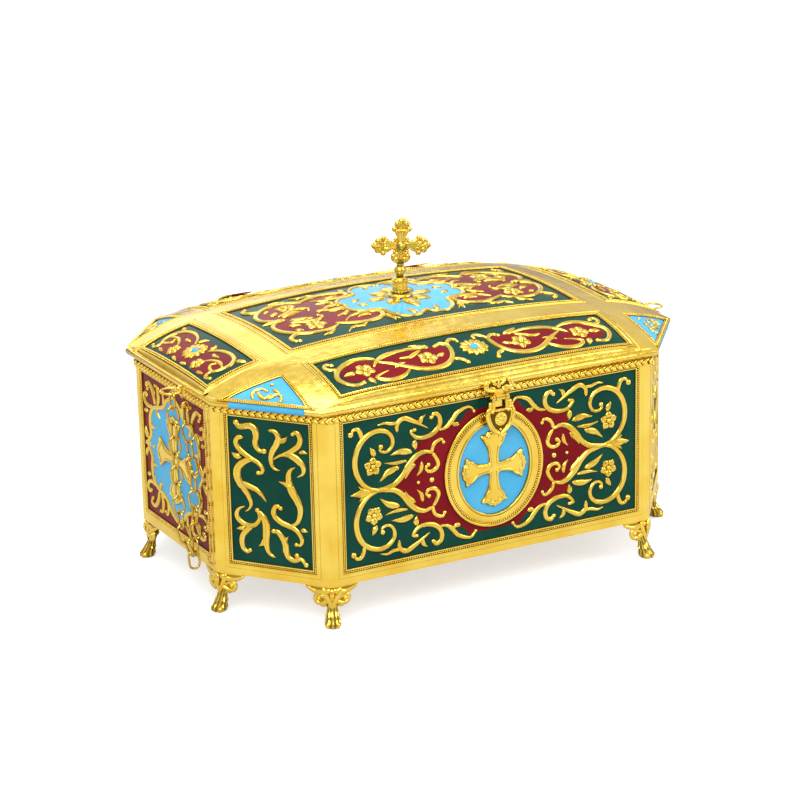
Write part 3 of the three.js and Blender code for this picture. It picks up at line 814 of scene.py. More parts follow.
CHAMFER_PANEL: list[Ornament] = [
    Stroke([(-20, 115.2), (-18.5, 112.8), (-15.5, 113.2), (-11.5, 114), (-8.5, 112), (-8, 108), (-8.8, 105),
            (-8, 102), (-5.8, 99.8), (-3.2, 100)], 3.7, (0.7, 0.6), V, 1.9), Dot((-20, 115.2), 2.1),
    Stroke([(-16, 107), (-19, 106.5), (-20.8, 104), (-19.5, 100.5), (-15.5, 97), (-11, 94.5), (-7, 92.5),
            (-4.5, 89.5), (-5.3, 86.8), (-7.3, 86.9)], 3.1, (0.8, 0.6), V, 1.6),
    Stroke([(-9, 94), (-12, 94.2), (-16, 92.3), (-19.7, 89), (-20.8, 84.5), (-19, 79.5), (-16, 75.5),
            (-13.5, 71.5), (-12.5, 67.5), (-14, 64.5), (-16.5, 62.8)], 4.2, (0.5, 0.2), V),
    Stroke([(-18.5, 80), (-13, 78), (-8.5, 76.2), (-5, 73), (-2.8, 70)], 3.2, (0.7, 0.15), V),
    leaf((-17.5, 95), (-23.5, 97.2), 3.4, 0.1),
    Stroke([(-16.5, 66), (-20.5, 63.8), (-22, 60.5), (-20, 56.8), (-16, 54.8), (-11.5, 55), (-8.5, 57.5),
            (-7.3, 61), (-8.8, 64.5)], 3.0, (0.3, 0.7), V, 1.6),
    Stroke([(-11.5, 55.4), (-15.5, 52), (-18.5, 48.5), (-19.3, 44), (-18.3, 40.5), (-15.5, 38.6),
            (-14.2, 39.8)], 3.3, (0.7, 0.6), V, 1.5),
    leaf((-16.8, 53), (-22.6, 52), 2.4),
    Stroke([(-8.8, 64.5), (-6.3, 62), (-4, 58.5), (-3.5, 53), (-3.9, 47.5), (-3.5, 42.5), (-1.5, 38.9),
            (1.6, 37.5)], 4.2, (0.5, 0.3), V),
    leaf((-4.2, 49.5), (-8.8, 43), 3.4, 0.15),
    Stroke([(-0.2, 112.6), (3.2, 112.5), (5.7, 109.5), (4.9, 105.5), (2.2, 101), (0.8, 97), (1.2, 93),
            (3, 90.3), (6.2, 89.8)], 3.5, (0.5, 0.3), V), leaf((5.4, 106.4), (11.4, 110.3), 2.8, -0.15),
    Stroke([(14.6, 112), (17.2, 113), (19.2, 110), (18.2, 106), (14.5, 102.5), (10, 100), (5.5, 98),
            (2.2, 95.6)], 3.2, (0.8, 0.3), V),
    Dot((14.8, 112), 1.5), Stroke([(7, 99), (13, 99.3), (17.5, 97), (20.6, 93.5), (20.4, 89.5), (16.6, 87)],
                                  3.8, (0.4, 0.2), V),
    leaf((18.3, 101.5), (23.7, 101.6), 2.4, 0.1),
    Stroke([(15.8, 92.8), (12.5, 90.5), (11.3, 87), (12, 82), (13.5, 77.5), (16.5, 73), (18, 68), (17.3, 63),
            (15, 59.2), (11, 57.4)], 4.2, (0.2, 0.4), V), leaf((16.2, 73), (4.9, 83.4), 3.6, -0.2),
    Stroke([(6, 67.5), (3.5, 68.5), (1.3, 65.8), (1.8, 62.3), (5, 59.3), (9.5, 57.6), (13.5, 56.3),
            (16.8, 53.5), (18.5, 50), (17.5, 47), (14.8, 46.9)], 3.2, (0.7, 0.6), V, 1.4), Dot((5.8, 67.4),
            1.6),
    leaf((17.9, 56.2), (22.3, 55.4), 2.6),
    Stroke([(1, 53.2), (3.5, 53), (6, 50), (8, 46), (8.3, 42), (10, 38.3), (13.5, 37), (17.5, 38.4),
            (20.6, 35.4)], 3.4, (0.8, 0.6), V, 1.8),
    Dot((1, 53.2), 1.7), leaf((7, 47.4), (9.9, 51), 2.4), Dot((15, 40.4), 1.7),
]

END_BLUE: Points = [(38.5, 0.05), (36.5, 2.8), (33.4, 7), (34.2, 13), (33.3, 19), (29.5, 23.6), (24, 25.8),
                    (17.5, 27.2), (12.5, 30), (9.3, 33.4), (5, 36), (0.05, 38.3)]
END_QUARTER: list[Ornament] = [
    Stroke(END_BLUE, 2.7, (0.9, 0.9), V),
    Stroke([(30, 24.5), (36, 23.6), (41, 25.4), (42, 29), (39.5, 30.8), (37.8, 29.6)], 2.6, (0.7, 0.6), S,
           1.5),
    Stroke([(25.8, 26.5), (26.6, 31), (29.6, 35.6), (33.6, 38), (37.6, 36.6), (36, 34)], 3.0, (0.6, 0.5), V,
           1.5),
    Stroke([(22.5, 26.8), (20.6, 30.5), (20.4, 34.5), (22, 38.5), (25, 38.7)], 2.8, (0.6, 0.5), V, 1.3),
    leaf((37.5, 19.5), (42.6, 20.2), 2.8), leaf((33.6, 13), (27.4, 12), 2.6, 0.15), leaf((24, 25.6),
            (19.6, 19.8), 2.6, 0.2),
    leaf((38.4, 3), (42.2, 9.5), 2.8, -0.1), Stroke([(14, 29.6), (13.4, 34), (15.2, 38.4), (18, 37)], 2.2,
            (0.6, 0.5), S, 1.1),
]
END_AXIS: list[Ornament] = [leaf((36, 0), (43, 0), 3.6), Dot((30.4, 0), 1.4)]

TOP_RED: Points = [(77, 0.05), (84, 3), (86.5, 10), (84, 18), (78, 25), (70, 28.7), (62, 28.7), (56, 26.3),
                   (51, 26.6), (44, 29.2), (37, 29.8), (31, 28.6), (27, 25), (27.4, 20.6), (32, 18.6),
                   (37.6, 14.6), (40.6, 9), (39, 0.05)]
TOP_BLUE: Points = [(36, 0.05), (38.2, 5), (37, 11), (32, 15.4), (26, 16), (21.6, 19), (20.6, 26),
                    (17, 32.6), (11, 36.2), (4.4, 34.6), (0.05, 30)]
TOP_QUARTER: list[Ornament] = [
    Stroke([(76, 0), (83, 2), (88, 8), (87.6, 16), (82.4, 24), (74.5, 29.6), (66, 31), (58.6, 29.2),
            (53.4, 25.4)], 3.2, (0.5, 0.5), V),
    Stroke([(56, 24), (49, 28.4), (41, 31.4), (33, 31), (27, 28), (24.6, 23), (27.4, 18.6), (33, 17),
            (39, 17.4), (44, 19.6), (49, 24)], 3.2, (0.5, 0.25), V),
    leaf((25.6, 26.6), (23, 37.4), 3.8, 0.1), leaf((75.6, 4.4), (61.6, 7.8), 4.4, -0.06),
    Stroke([(77, 7.6), (73, 9.2), (67, 12.2), (60.6, 12.6), (56.6, 9.4), (58, 6)], 2.6, (0.5, 0.5), V, 1.1),
    Flower((66, 20), 6.6, 5, 100), leaf((80, 12.2), (73.2, 15.8), 3.2, 0.1), leaf((80, 20.4), (75.4, 23),
            2.8),
    leaf((38, 3.6), (51, 1.8), 4.2, 0.1), leaf((39.6, 8.4), (49.4, 14.6), 3.0, 0.15), leaf((31, 22),
            (40, 22.6), 3.0, -0.1),
    Stroke([(39.6, 33), (44, 36.4), (50, 35.6), (55.2, 40)], 2.3, (0.5, 0.3), V),
    Stroke([(80, 25.8), (84.6, 27.6), (87.8, 31), (87.4, 35), (85, 36.6)], 3.0, (0.6, 0.6), S, 1.7),
    Stroke(TOP_BLUE, 2.5, (0.9, 0.9), V), leaf((24.5, 6.2), (30.6, 2.4), 3.0, 0.1),
    leaf((6, 33), (9, 24.6), 3.2, 0.1), leaf((24, 17.4), (19.4, 36.4), 2.4, -0.16), leaf((60, 32),
            (70, 37.4), 2.6, 0.1),
]
TOP_AXIS: list[Ornament] = [leaf((77.5, 0), (91, 0), 4.4), leaf((21, 0), (7.4, 0), 6.4), leaf((56, 0),
        (47, 0), 3)]
TOP_CROWN: list[Ornament] = [leaf((7 * math.cos(a), 7 * math.sin(a)), (r * math.cos(a), r * math.sin(a)),
                                  8.2) for a, r in ((math.radians(d),
        20 if d % 90 else 24) for d in (45, 90, 135, 225, 270, 315))]

SLOPE_RED: Points = [(15.4, 84), (17.4, 78.6), (25, 78), (33, 78.2), (40, 78.4), (50, 79), (57.5, 80.6),
                     (61.5, 81.6), (66, 78), (73, 77.6), (80, 80), (84.6, 86), (85, 91), (82, 95.3),
                     (78, 96), (72, 96), (66, 97.6), (61, 99), (52, 98.6), (46, 96), (39, 95.8), (32, 96.6),
                     (24, 95.3), (18, 90.6)]
SLOPE_HALF: list[Ornament] = [
    Stroke([(59, 79.6), (66, 76.6), (73, 76), (80, 78.8), (86, 84), (88.4, 90), (86, 95.8), (81.4, 98.9),
            (76.4, 98.2)], 3.2, (0.4, 0.7), V, 1.6),
    Stroke([(84, 81), (88.2, 79.5), (89.8, 76), (87.3, 73.2), (85, 75.4)], 2.5, (0.7, 0.6), S, 1.6),
    Stroke([(64, 86.4), (60, 82), (54, 78.2), (46, 76.6), (38, 76.6), (29, 78.6)], 3.2, (0.3, 0.4), V),
    Stroke([(60, 82.6), (52, 88), (46, 92.5), (39, 96.8), (31, 98.4), (23, 97), (17, 92.4), (13.8, 86),
            (13.5, 80.2), (17, 77), (21, 78.9)], 3.3, (0.4, 0.6), V, 1.4),
    Stroke([(45, 94.6), (50, 98.4), (57, 100.4), (64, 99.6), (67.4, 96.6), (63, 94), (57, 92.2)], 2.7,
           (0.5, 0.2), V),
    leaf((72.4, 95.2), (69.8, 100.6), 3.6), leaf((24.6, 78.4), (35.6, 73.4), 3.6, 0.05),
    Stroke([(30.6, 79.8), (36, 82.4), (41, 84.6), (46.4, 83.6)], 2.7, (0.4, 0.5), S),
    Stroke([(13.6, 80.6), (11.2, 76.4), (8.4, 74.2), (5.6, 75.6), (5.6, 78)], 2.4, (0.8, 0.6), S, 1.1),
    Stroke([(16.4, 93.4), (11.8, 95.4), (10, 98.4)], 2.5, (0.8, 0.7), S, 1.7),
    Flower((70.4, 87.6), 6.0, 5, 80), Flower((30.4, 88.4), 6.0, 5, 100), leaf((76.6, 88.2), (84, 88.8),
            3.2), leaf((24.6, 89), (18.8, 86.8), 2.8),
    leaf((53, 91.4), (44.6, 88.4), 2.4, 0.1),
]

LID_END_TOP: Points = [(37.4, 137), (34.6, 141), (33, 144.3), (25, 145.2), (16, 145.3), (8, 144),
                       (3.2, 145.6)]
LID_END_FOOT: Points = [(37, 130.6), (34, 126.6), (27, 124.6), (20, 125), (13, 128), (9.6, 128), (6, 122.8),
                        (2.6, 124.2)]
LID_END_RED: Points = [*LID_END_TOP, *((-x, y) for x, y in reversed(LID_END_TOP)), *((-x, y) for x,
        y in LID_END_FOOT), (0, 124.8), *reversed(LID_END_FOOT)]
LID_END_HALF: list[Ornament] = [
    Stroke([(8.6, 130.4), (13, 126.6), (19.4, 123.9), (27, 123.3), (33.6, 125.4), (37.4, 130.8), (36.6, 137),
            (33.6, 141), (35, 144.6), (39.4, 143.4)], 2.7, (0.4, 0.6), V, 1.3),
    Stroke([(36, 134), (29, 132.3), (22.6, 134), (17.6, 137.8)], 2.4, (0.5, 0.3), V),
    Stroke([(34, 139.6), (29.6, 139), (26.6, 136.6), (28, 134.6)], 2.1, (0.6, 0.6), S, 1.0),
    leaf((9, 144.6), (2.4, 145.8), 2.2), leaf((15.4, 130), (22.6, 129.4), 2.6, 0.1), Flower((16.2, 140.8),
            4.6, 5, 90),
    leaf((36, 125.2), (41.4, 121.4), 3.2), leaf((24, 144.8), (30.4, 143.6), 2.2), leaf((8.4, 128.8),
            (5.2, 122.8), 2.4, 0.2),
]
CORNER_TRIANGLE: list[Ornament] = [
    Stroke([(76, 134.4), (72.4, 133.2), (71.4, 130.2), (73, 127.2), (76.6, 125.8)], 2.0, (0.7, 0.5), S, 0.9),
    Stroke([(73.4, 130), (77, 130.6), (80.6, 129.2), (80.4, 125.6)], 1.9, (0.6, 0.5), S, 0.8),
    Stroke([(80.6, 129.4), (82.4, 126), (82.6, 122.8), (86, 121.8), (88.6, 123.6)], 2.0, (0.6, 0.6), S, 1.0),
    leaf((77, 122.4), (83, 121.2), 2.0), Dot((73.4, 121.2), 1.2),
]


# ---- Finishes ----
class Tree:
    """A node tree, with short ways to add nodes and links."""

    tree: NodeTree

    def add(self, kind: str, **values: object) -> Node:
        """A new node with its properties set.

        Args:
            kind: the node's kind.
            values: its properties.

        Returns:
            The node.
        """
        node = self.tree.nodes.new(kind)
        for name, value in values.items():
            setattr(node, name, value)
        return node

    def link(self, a: NodeSocket, b: NodeSocket) -> None:
        """Joins an output to an input."""
        self.tree.links.new(a, b)

    def flow(self, *nodes: Node) -> None:
        """Joins nodes in a row, each one's first output to the next one's first input."""
        for before, after in zip(nodes, nodes[1:]):
            self.link(before.outputs[0], after.inputs[0])


@dataclass
class Nodes(Tree):
    """A material's node tree."""

    material: Material

    def __post_init__(self) -> None:
        """Clears the tree and adds the surface shader."""
        self.material.use_nodes = True
        self.tree = self.material.node_tree
        self.tree.nodes.clear()
        self.shader = self.add("ShaderNodeBsdfPrincipled")
        output = self.add("ShaderNodeOutputMaterial")
        self.link(self.shader.outputs["BSDF"], output.inputs["Surface"])
        self.where = self.add("ShaderNodeTexCoord").outputs["Object"]

    def noise(self, scale: float, detail: float = 3.0) -> NodeSocket:
        """A noise value over the object, its scale in cycles a metre.

        Args:
            scale: cycles a metre.
            detail: the finer layers.

        Returns:
            The noise value.
        """
        node = self.add("ShaderNodeTexNoise")
        node.inputs["Scale"].default_value = scale
        node.inputs["Detail"].default_value = detail
        self.link(self.where, node.inputs["Vector"])
        return node.outputs["Fac"]

    def spread(self, value: NodeSocket, low: float, high: float, out_low: float,
               out_high: float) -> NodeSocket:
        """A value mapped from one range to another.

        Args:
            value: the value to map.
            low: the lower end.
            high: the upper end.
            out_low: what the lower end becomes.
            out_high: what the upper end becomes.

        Returns:
            The mapped value.
        """
        node = self.add("ShaderNodeMapRange")
        for i, number in enumerate((low, high, out_low, out_high)):
            node.inputs[i + 1].default_value = number
        self.link(value, node.inputs[0])
        return node.outputs[0]

    def blend(self, share: NodeSocket, a: object, b: object) -> NodeSocket:
        """A colour between two, each a socket or three linear numbers.

        Args:
            share: how much of the second colour.
            a: the first colour.
            b: the second colour.

        Returns:
            The blended colour.
        """
        node = self.add("ShaderNodeMix", data_type="RGBA")
        self.link(share, node.inputs["Factor"])
        for socket, value in ((node.inputs[6], a), (node.inputs[7], b)):
            if isinstance(value, NodeSocket):
                self.link(value, socket)
            else:
                socket.default_value = (*value, 1)
        return node.outputs[2]

    def bump(self, layers: list[tuple[NodeSocket, float]]) -> None:
        """Bumps the surface by several heights, each with its depth in metres.

        Args:
            layers: each height with its depth in metres.
        """
        last = None
        for height, depth in layers:
            node = self.add("ShaderNodeBump")
            node.inputs["Strength"].default_value = 1.0
            node.inputs["Distance"].default_value = depth
            self.link(height, node.inputs["Height"])
            if last is not None:
                self.link(last, node.inputs["Normal"])
            last = node.outputs["Normal"]
        self.link(last, self.shader.inputs["Normal"])


Colour = tuple[float, float, float]


@dataclass(frozen=True)
class BrassFinish:
    """Polished, lacquered brass, darkened by patina and by painted shade where the mesh's darkening
    attribute says.
    """

    name: str = "brass"
    bright: Colour = (1.0, 0.73, 0.13)
    deep: Colour = (0.90, 0.57, 0.06)
    # The dark colour of patina and painted shade.
    patina_and_shade: Colour = (0.10, 0.040, 0.003)
    gloss: tuple[float, float] = (0.1, 0.26)
    waves: float = 0.0004

    def material(self) -> Material:
        """The finish as a node material.

        Returns:
            The material.
        """
        nodes = Nodes(bpy.data.materials.new(self.name))
        broad, fine, grain = nodes.noise(45), nodes.noise(260), nodes.noise(1500, 2)
        tint = nodes.blend(nodes.spread(broad, 0.35, 0.65, 0, 1), self.deep, self.bright)
        tint = nodes.blend(nodes.spread(fine, 0.3, 0.75, 0.0, 0.35), tint, self.bright)
        # Mixes in the dark colour by the darkening attribute: patina with painted shade.
        attribute = nodes.add("ShaderNodeAttribute", attribute_name="patina_and_shade").outputs["Fac"]
        nodes.link(nodes.blend(nodes.spread(attribute, 0.08, 0.85, 0, 0.95), tint, self.patina_and_shade),
                   nodes.shader.inputs["Base Color"])
        nodes.link(nodes.spread(fine, 0.3, 0.7, *self.gloss), nodes.shader.inputs["Roughness"])
        nodes.shader.inputs["Metallic"].default_value = 1.0
        nodes.bump([(nodes.noise(110, 2), self.waves), (fine, self.waves * 0.3), (grain, 0.00001)])
        return nodes.material


@dataclass(frozen=True)
class EnamelFinish:
    """Glossy painted enamel, slightly mottled and wavy."""

    name: str
    colour: Colour
    shade: Colour
    gloss: tuple[float, float] = (0.12, 0.24)

    def material(self) -> Material:
        """The finish as a node material.

        Returns:
            The material.
        """
        nodes = Nodes(bpy.data.materials.new(self.name))
        broad, fine = nodes.noise(38), nodes.noise(420, 2)
        tint = nodes.blend(nodes.spread(broad, 0.35, 0.65, 0, 1), self.shade, self.colour)
        nodes.link(nodes.blend(nodes.spread(fine, 0.4, 0.8, 0, 0.25), tint, self.shade),
                   nodes.shader.inputs["Base Color"])
        nodes.link(nodes.spread(fine, 0.3, 0.7, *self.gloss), nodes.shader.inputs["Roughness"])
        nodes.shader.inputs["Specular IOR Level"].default_value = 0.07
        nodes.bump([(nodes.noise(80, 2), 0.00016), (fine, 0.00001)])
        return nodes.material


@dataclass
class Finishes:
    """Every finish of the object, made once."""

    brass: Material = field(init=False)
    green: Material = field(init=False)
    red: Material = field(init=False)
    blue: Material = field(init=False)

    def __post_init__(self) -> None:
        """Makes the materials."""
        self.brass = BrassFinish().material()
        self.green = EnamelFinish("enamel_green", (0.006, 0.060, 0.040), (0.004, 0.044, 0.030)).material()
        self.red = EnamelFinish("enamel_red", (0.22, 0.007, 0.012), (0.15, 0.004, 0.008)).material()
        self.blue = EnamelFinish("enamel_blue", (0.10, 0.46, 0.74), (0.07, 0.39, 0.66)).material()

    def of(self, slot: Slot) -> Material:
        """The material of a slot."""
        return {Slot.BRASS: self.brass, Slot.GREEN: self.green, Slot.RED: self.red,
                Slot.BLUE: self.blue}[slot]


# ---- Geometry Nodes ----
class NodeGroup(Tree):
    """A geometry node tree with named inputs, made in this script and used once."""

    def __init__(self, name: str) -> None:
        """Starts a tree with a geometry input and output.

        Args:
            name: the new object's name.
        """
        self.tree = bpy.data.node_groups.new(name, "GeometryNodeTree")
        self.identifiers: dict[str, str] = {}
        self.values: dict[str, object] = {}
        self.tree.interface.new_socket("Geometry", in_out="INPUT", socket_type="NodeSocketGeometry")
        self.tree.interface.new_socket("Geometry", in_out="OUTPUT", socket_type="NodeSocketGeometry")
        self.start = self.add("NodeGroupInput")

    def input(self, name: str, kind: str, value: object) -> None:
        """Adds a named input with the value it is to have.

        Args:
            name: the input's name.
            kind: its socket type.
            value: its value.
        """
        socket = self.tree.interface.new_socket(name, in_out="INPUT", socket_type=kind)
        self.identifiers[name] = socket.identifier
        self.values[name] = value

    def feed(self, name: str, socket: NodeSocket) -> None:
        """Joins a named input to a node's socket."""
        self.link(self.start.outputs[name], socket)

    def close(self, placed: Node, *steps: Node) -> None:
        """Ends the tree: the placed shapes become one smooth mesh in the tree's finish.

        Args:
            placed: the node that places the shapes.
            steps: further nodes for the mesh to pass through before it gets its finish.
        """
        real = self.add("GeometryNodeRealizeInstances")
        smoothed = self.add("GeometryNodeSetShadeSmooth")
        painted = self.add("GeometryNodeSetMaterial")
        self.flow(placed, real, smoothed, *steps, painted, self.add("NodeGroupOutput"))
        self.feed("Finish", painted.inputs["Material"])

    def evaluated(self, source: Object, name: str) -> Mesh:
        """The tree's result on an object, as a plain mesh; the source is removed.

        Args:
            source: the object to work on.
            name: the mesh's name.

        Returns:
            The mesh.
        """
        modifier = source.modifiers.new(name, "NODES")
        modifier.node_group = self.tree
        for key, value in self.values.items():
            modifier[self.identifiers[key]] = value
        graph = bpy.context.evaluated_depsgraph_get()
        graph.update()
        made = bpy.data.meshes.new_from_object(source.evaluated_get(graph), depsgraph=graph)
        made.name = name
        source.modifiers.remove(modifier)
        bpy.data.objects.remove(source)
        return made


def paths_object(name: str, loops: list[Array]) -> Object:
    """A mesh of closed lines only, in metres, for a node tree to follow.

    Args:
        name: the new object's name.
        loops: the lines.

    Returns:
        The new object.
    """
    points, edges, start = [], [], 0
    for loop in loops:
        count = len(loop)
        points.extend((loop * MM).tolist())
        edges.extend((start + i, start + (i + 1) % count) for i in range(count))
        start += count
    mesh = bpy.data.meshes.new(name)
    mesh.from_pydata(points, edges, [])
    made = bpy.data.objects.new(name, mesh)
    bpy.context.scene.collection.objects.link(made)
    return made


@dataclass
class BeadRows:
    """Rows of small beads along closed lines."""

    name: str
    material: Material
    body: Body
    radius: float = 0.52
    pitch: float = BEAD_PITCH
    loops: list[Array] = field(default_factory=list)

    def along(self, spot: Spot, outline: Array, grow: float, w: float, step: float = 4.0) -> None:
        """Adds a row at a distance round an outline."""
        self.loops.append(spot.place(divided(loop_edges(outline, grow), outline, step), w))

    def build(self) -> Object:
        """Makes the rows one piece.

        Returns:
            The new object.
        """
        group = NodeGroup("bead_rows")
        group.input("Bead radius", "NodeSocketFloat", self.radius * MM)
        group.input("Pitch", "NodeSocketFloat", self.pitch * MM)
        group.input("Finish", "NodeSocketMaterial", self.material)
        spaced = group.add("GeometryNodeResampleCurve", mode="LENGTH")
        group.feed("Pitch", spaced.inputs["Length"])
        bead = group.add("GeometryNodeMeshUVSphere")
        bead.inputs["Segments"].default_value = 8
        bead.inputs["Rings"].default_value = 4
        group.feed("Bead radius", bead.inputs["Radius"])
        rows = group.add("GeometryNodeInstanceOnPoints")
        group.link(bead.outputs["Mesh"], rows.inputs["Instance"])
        group.flow(group.start, group.add("GeometryNodeMeshToCurve"), spaced, rows)
        group.close(rows)
        mesh = group.evaluated(paths_object(self.name + "_paths", self.loops), self.name)
        return finish_piece(mesh, self.name, self.material, Slot.BRASS, self.body)


@dataclass
class Braid:
    """The strip of braid round the top of the walls: two rows of leaves that lean towards each other."""

    material: Material
    pitch: float = 4.3
    middle: float = 1.0

    def rows(self, lean: float, z: float, name: str) -> Mesh:
        """One row of leaning leaves as a plain mesh.

        Args:
            lean: the leaves' lean in degrees.
            z: the row's height.
            name: the mesh's name.

        Returns:
            The mesh.
        """
        group = NodeGroup("braid_row")
        group.input("Pitch", "NodeSocketFloat", self.pitch * MM)
        group.input("Lean", "NodeSocketFloat", math.radians(lean))
        group.input("Finish", "NodeSocketMaterial", self.material)
        spaced = group.add("GeometryNodeResampleCurve", mode="LENGTH")
        group.feed("Pitch", spaced.inputs["Length"])
        axes = group.add("FunctionNodeAxesToRotation", primary_axis="X", secondary_axis="Z")
        axes.inputs["Secondary Axis"].default_value = (0, 0, 1)
        group.link(group.add("GeometryNodeInputTangent").outputs["Tangent"], axes.inputs["Primary Axis"])
        tilt = group.add("ShaderNodeCombineXYZ")
        group.feed("Lean", tilt.inputs["Y"])
        turned = group.add("FunctionNodeEulerToRotation")
        both = group.add("FunctionNodeRotateRotation", rotation_space="LOCAL")
        group.flow(tilt, turned)
        group.link(axes.outputs["Rotation"], both.inputs["Rotation"])
        group.link(turned.outputs["Rotation"], both.inputs["Rotate By"])
        unit = group.add("GeometryNodeMeshUVSphere")
        unit.inputs["Segments"].default_value = 8
        unit.inputs["Rings"].default_value = 6
        unit.inputs["Radius"].default_value = 1.0 * MM
        stretched = group.add("GeometryNodeTransform")
        stretched.inputs["Scale"].default_value = LEAF_STRETCH
        group.flow(unit, stretched)
        row = group.add("GeometryNodeInstanceOnPoints")
        group.link(stretched.outputs["Geometry"], row.inputs["Instance"])
        group.link(both.outputs["Rotation"], row.inputs["Rotation"])
        group.flow(group.start, group.add("GeometryNodeMeshToCurve"), spaced, row)
        group.close(row)
        loop = np.array([(x, y, z) for x, y in octagon(self.middle)], float)
        if lean < 0:
            loop = np.concatenate([loop[:1] * 0.99 + loop[1:2] * 0.01, loop[1:], loop[:1]])
        return group.evaluated(paths_object(name, [loop]), name)

    def build(self) -> None:
        """Makes the braid's two rows and the strip that carries them."""
        strip = Shell()
        # The strip is darker in its middle, behind the leaves: painted shade with patina.
        profile = [(0.3, 119.9, 0.6), (0.75, 120.05, 0.1), (0.75, 120.5, 0.6), (0.5, 120.7, 1),
                   (0.5, 123.5, 1), (0.75, 123.7, 0.6), (0.75, 124.1, 0.1), (0.3, 124.2, 0.3)]
        wall_rings(strip, profile, CHAMFER)
        strip.piece("braid_strip", self.material, Slot.BRASS, Body.CASKET, "rim_braid")
        low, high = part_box("rim_braid")
        middle = (low.z + high.z) / 2 / MM
        for name, lean, z in (("braid_lower_row", 20, middle - 0.75),
                              ("braid_upper_row", -20, middle + 0.75)):
            finish_piece(self.rows(lean, z, name), name, self.material, Slot.BRASS, Body.CASKET)


def wall_rings(shell: Shell, profile: list[Point], chamfer: tuple[float, float],
               inward: bool = False) -> None:
    """A moulding all round the plan.

    Args:
        shell: the shell to add to.
        profile: offset from the walls, height from the ground and darkening of each line, from the bottom
            up; the darkening is painted shade with patina.
        chamfer: the cut corners' size.
        inward: whether the faces look inwards.
    """
    rings = [[(x, y, z) for x, y in octagon(offset, chamfer)] for offset, z, _ in profile]
    patina_and_shade = np.repeat([p for _, _, p in profile], 8)
    shell.add(np.array(rings, float), grid_faces(len(rings), 8, closed_columns=True), patina_and_shade, not inward)


# ---- The box ----
@dataclass(frozen=True)
class WallPanel:
    """One of the eight walls and the field on it."""

    plane: Plane
    length: float
    kind: Wall

    @property
    def half(self) -> float:
        """Half the field's width."""
        return self.length / 2 - PANEL_MARGIN[self.kind]

    @property
    def outline(self) -> Array:
        """The field's corners on the wall."""
        return rectangle(-self.half, PANEL_Z[0], self.half, PANEL_Z[1])


def wall_panels() -> list[WallPanel]:
    """The eight walls, anticlockwise from the right front corner's.

    Returns:
        The walls.
    """
    corners = np.array(octagon(0.0))
    kinds = [Wall.CHAMFER, Wall.END, Wall.CHAMFER, Wall.LONG] * 2
    made = []
    for i, kind in enumerate(kinds):
        a, b = corners[i], corners[(i + 1) % 8]
        length = float(np.linalg.norm(b - a))
        along = (b - a) / length
        made.append(WallPanel(Plane(tuple((a + b) / 2), tuple(along)), length, kind))
    return made


# Distance out, height and darkening of each ring of a wall field's frame; the darkening in its grooves and
# at its foot is painted shade with patina.
FRAME_RINGS = [(0.0, -0.72, 1.0), (0.0, 0.05, 0.7), (0.3, 0.4, 0.0), (0.8, 0.42, 0.2), (0.95, 0.12, 0.9),
               (2.15, 0.12, 0.9), (2.3, 0.42, 0.2), (4.7, 0.4, 0.0), (4.95, 0.0, 0.4), (5.3, 0.0, 0.12),
               (5.5, 0.0, 0.0)]


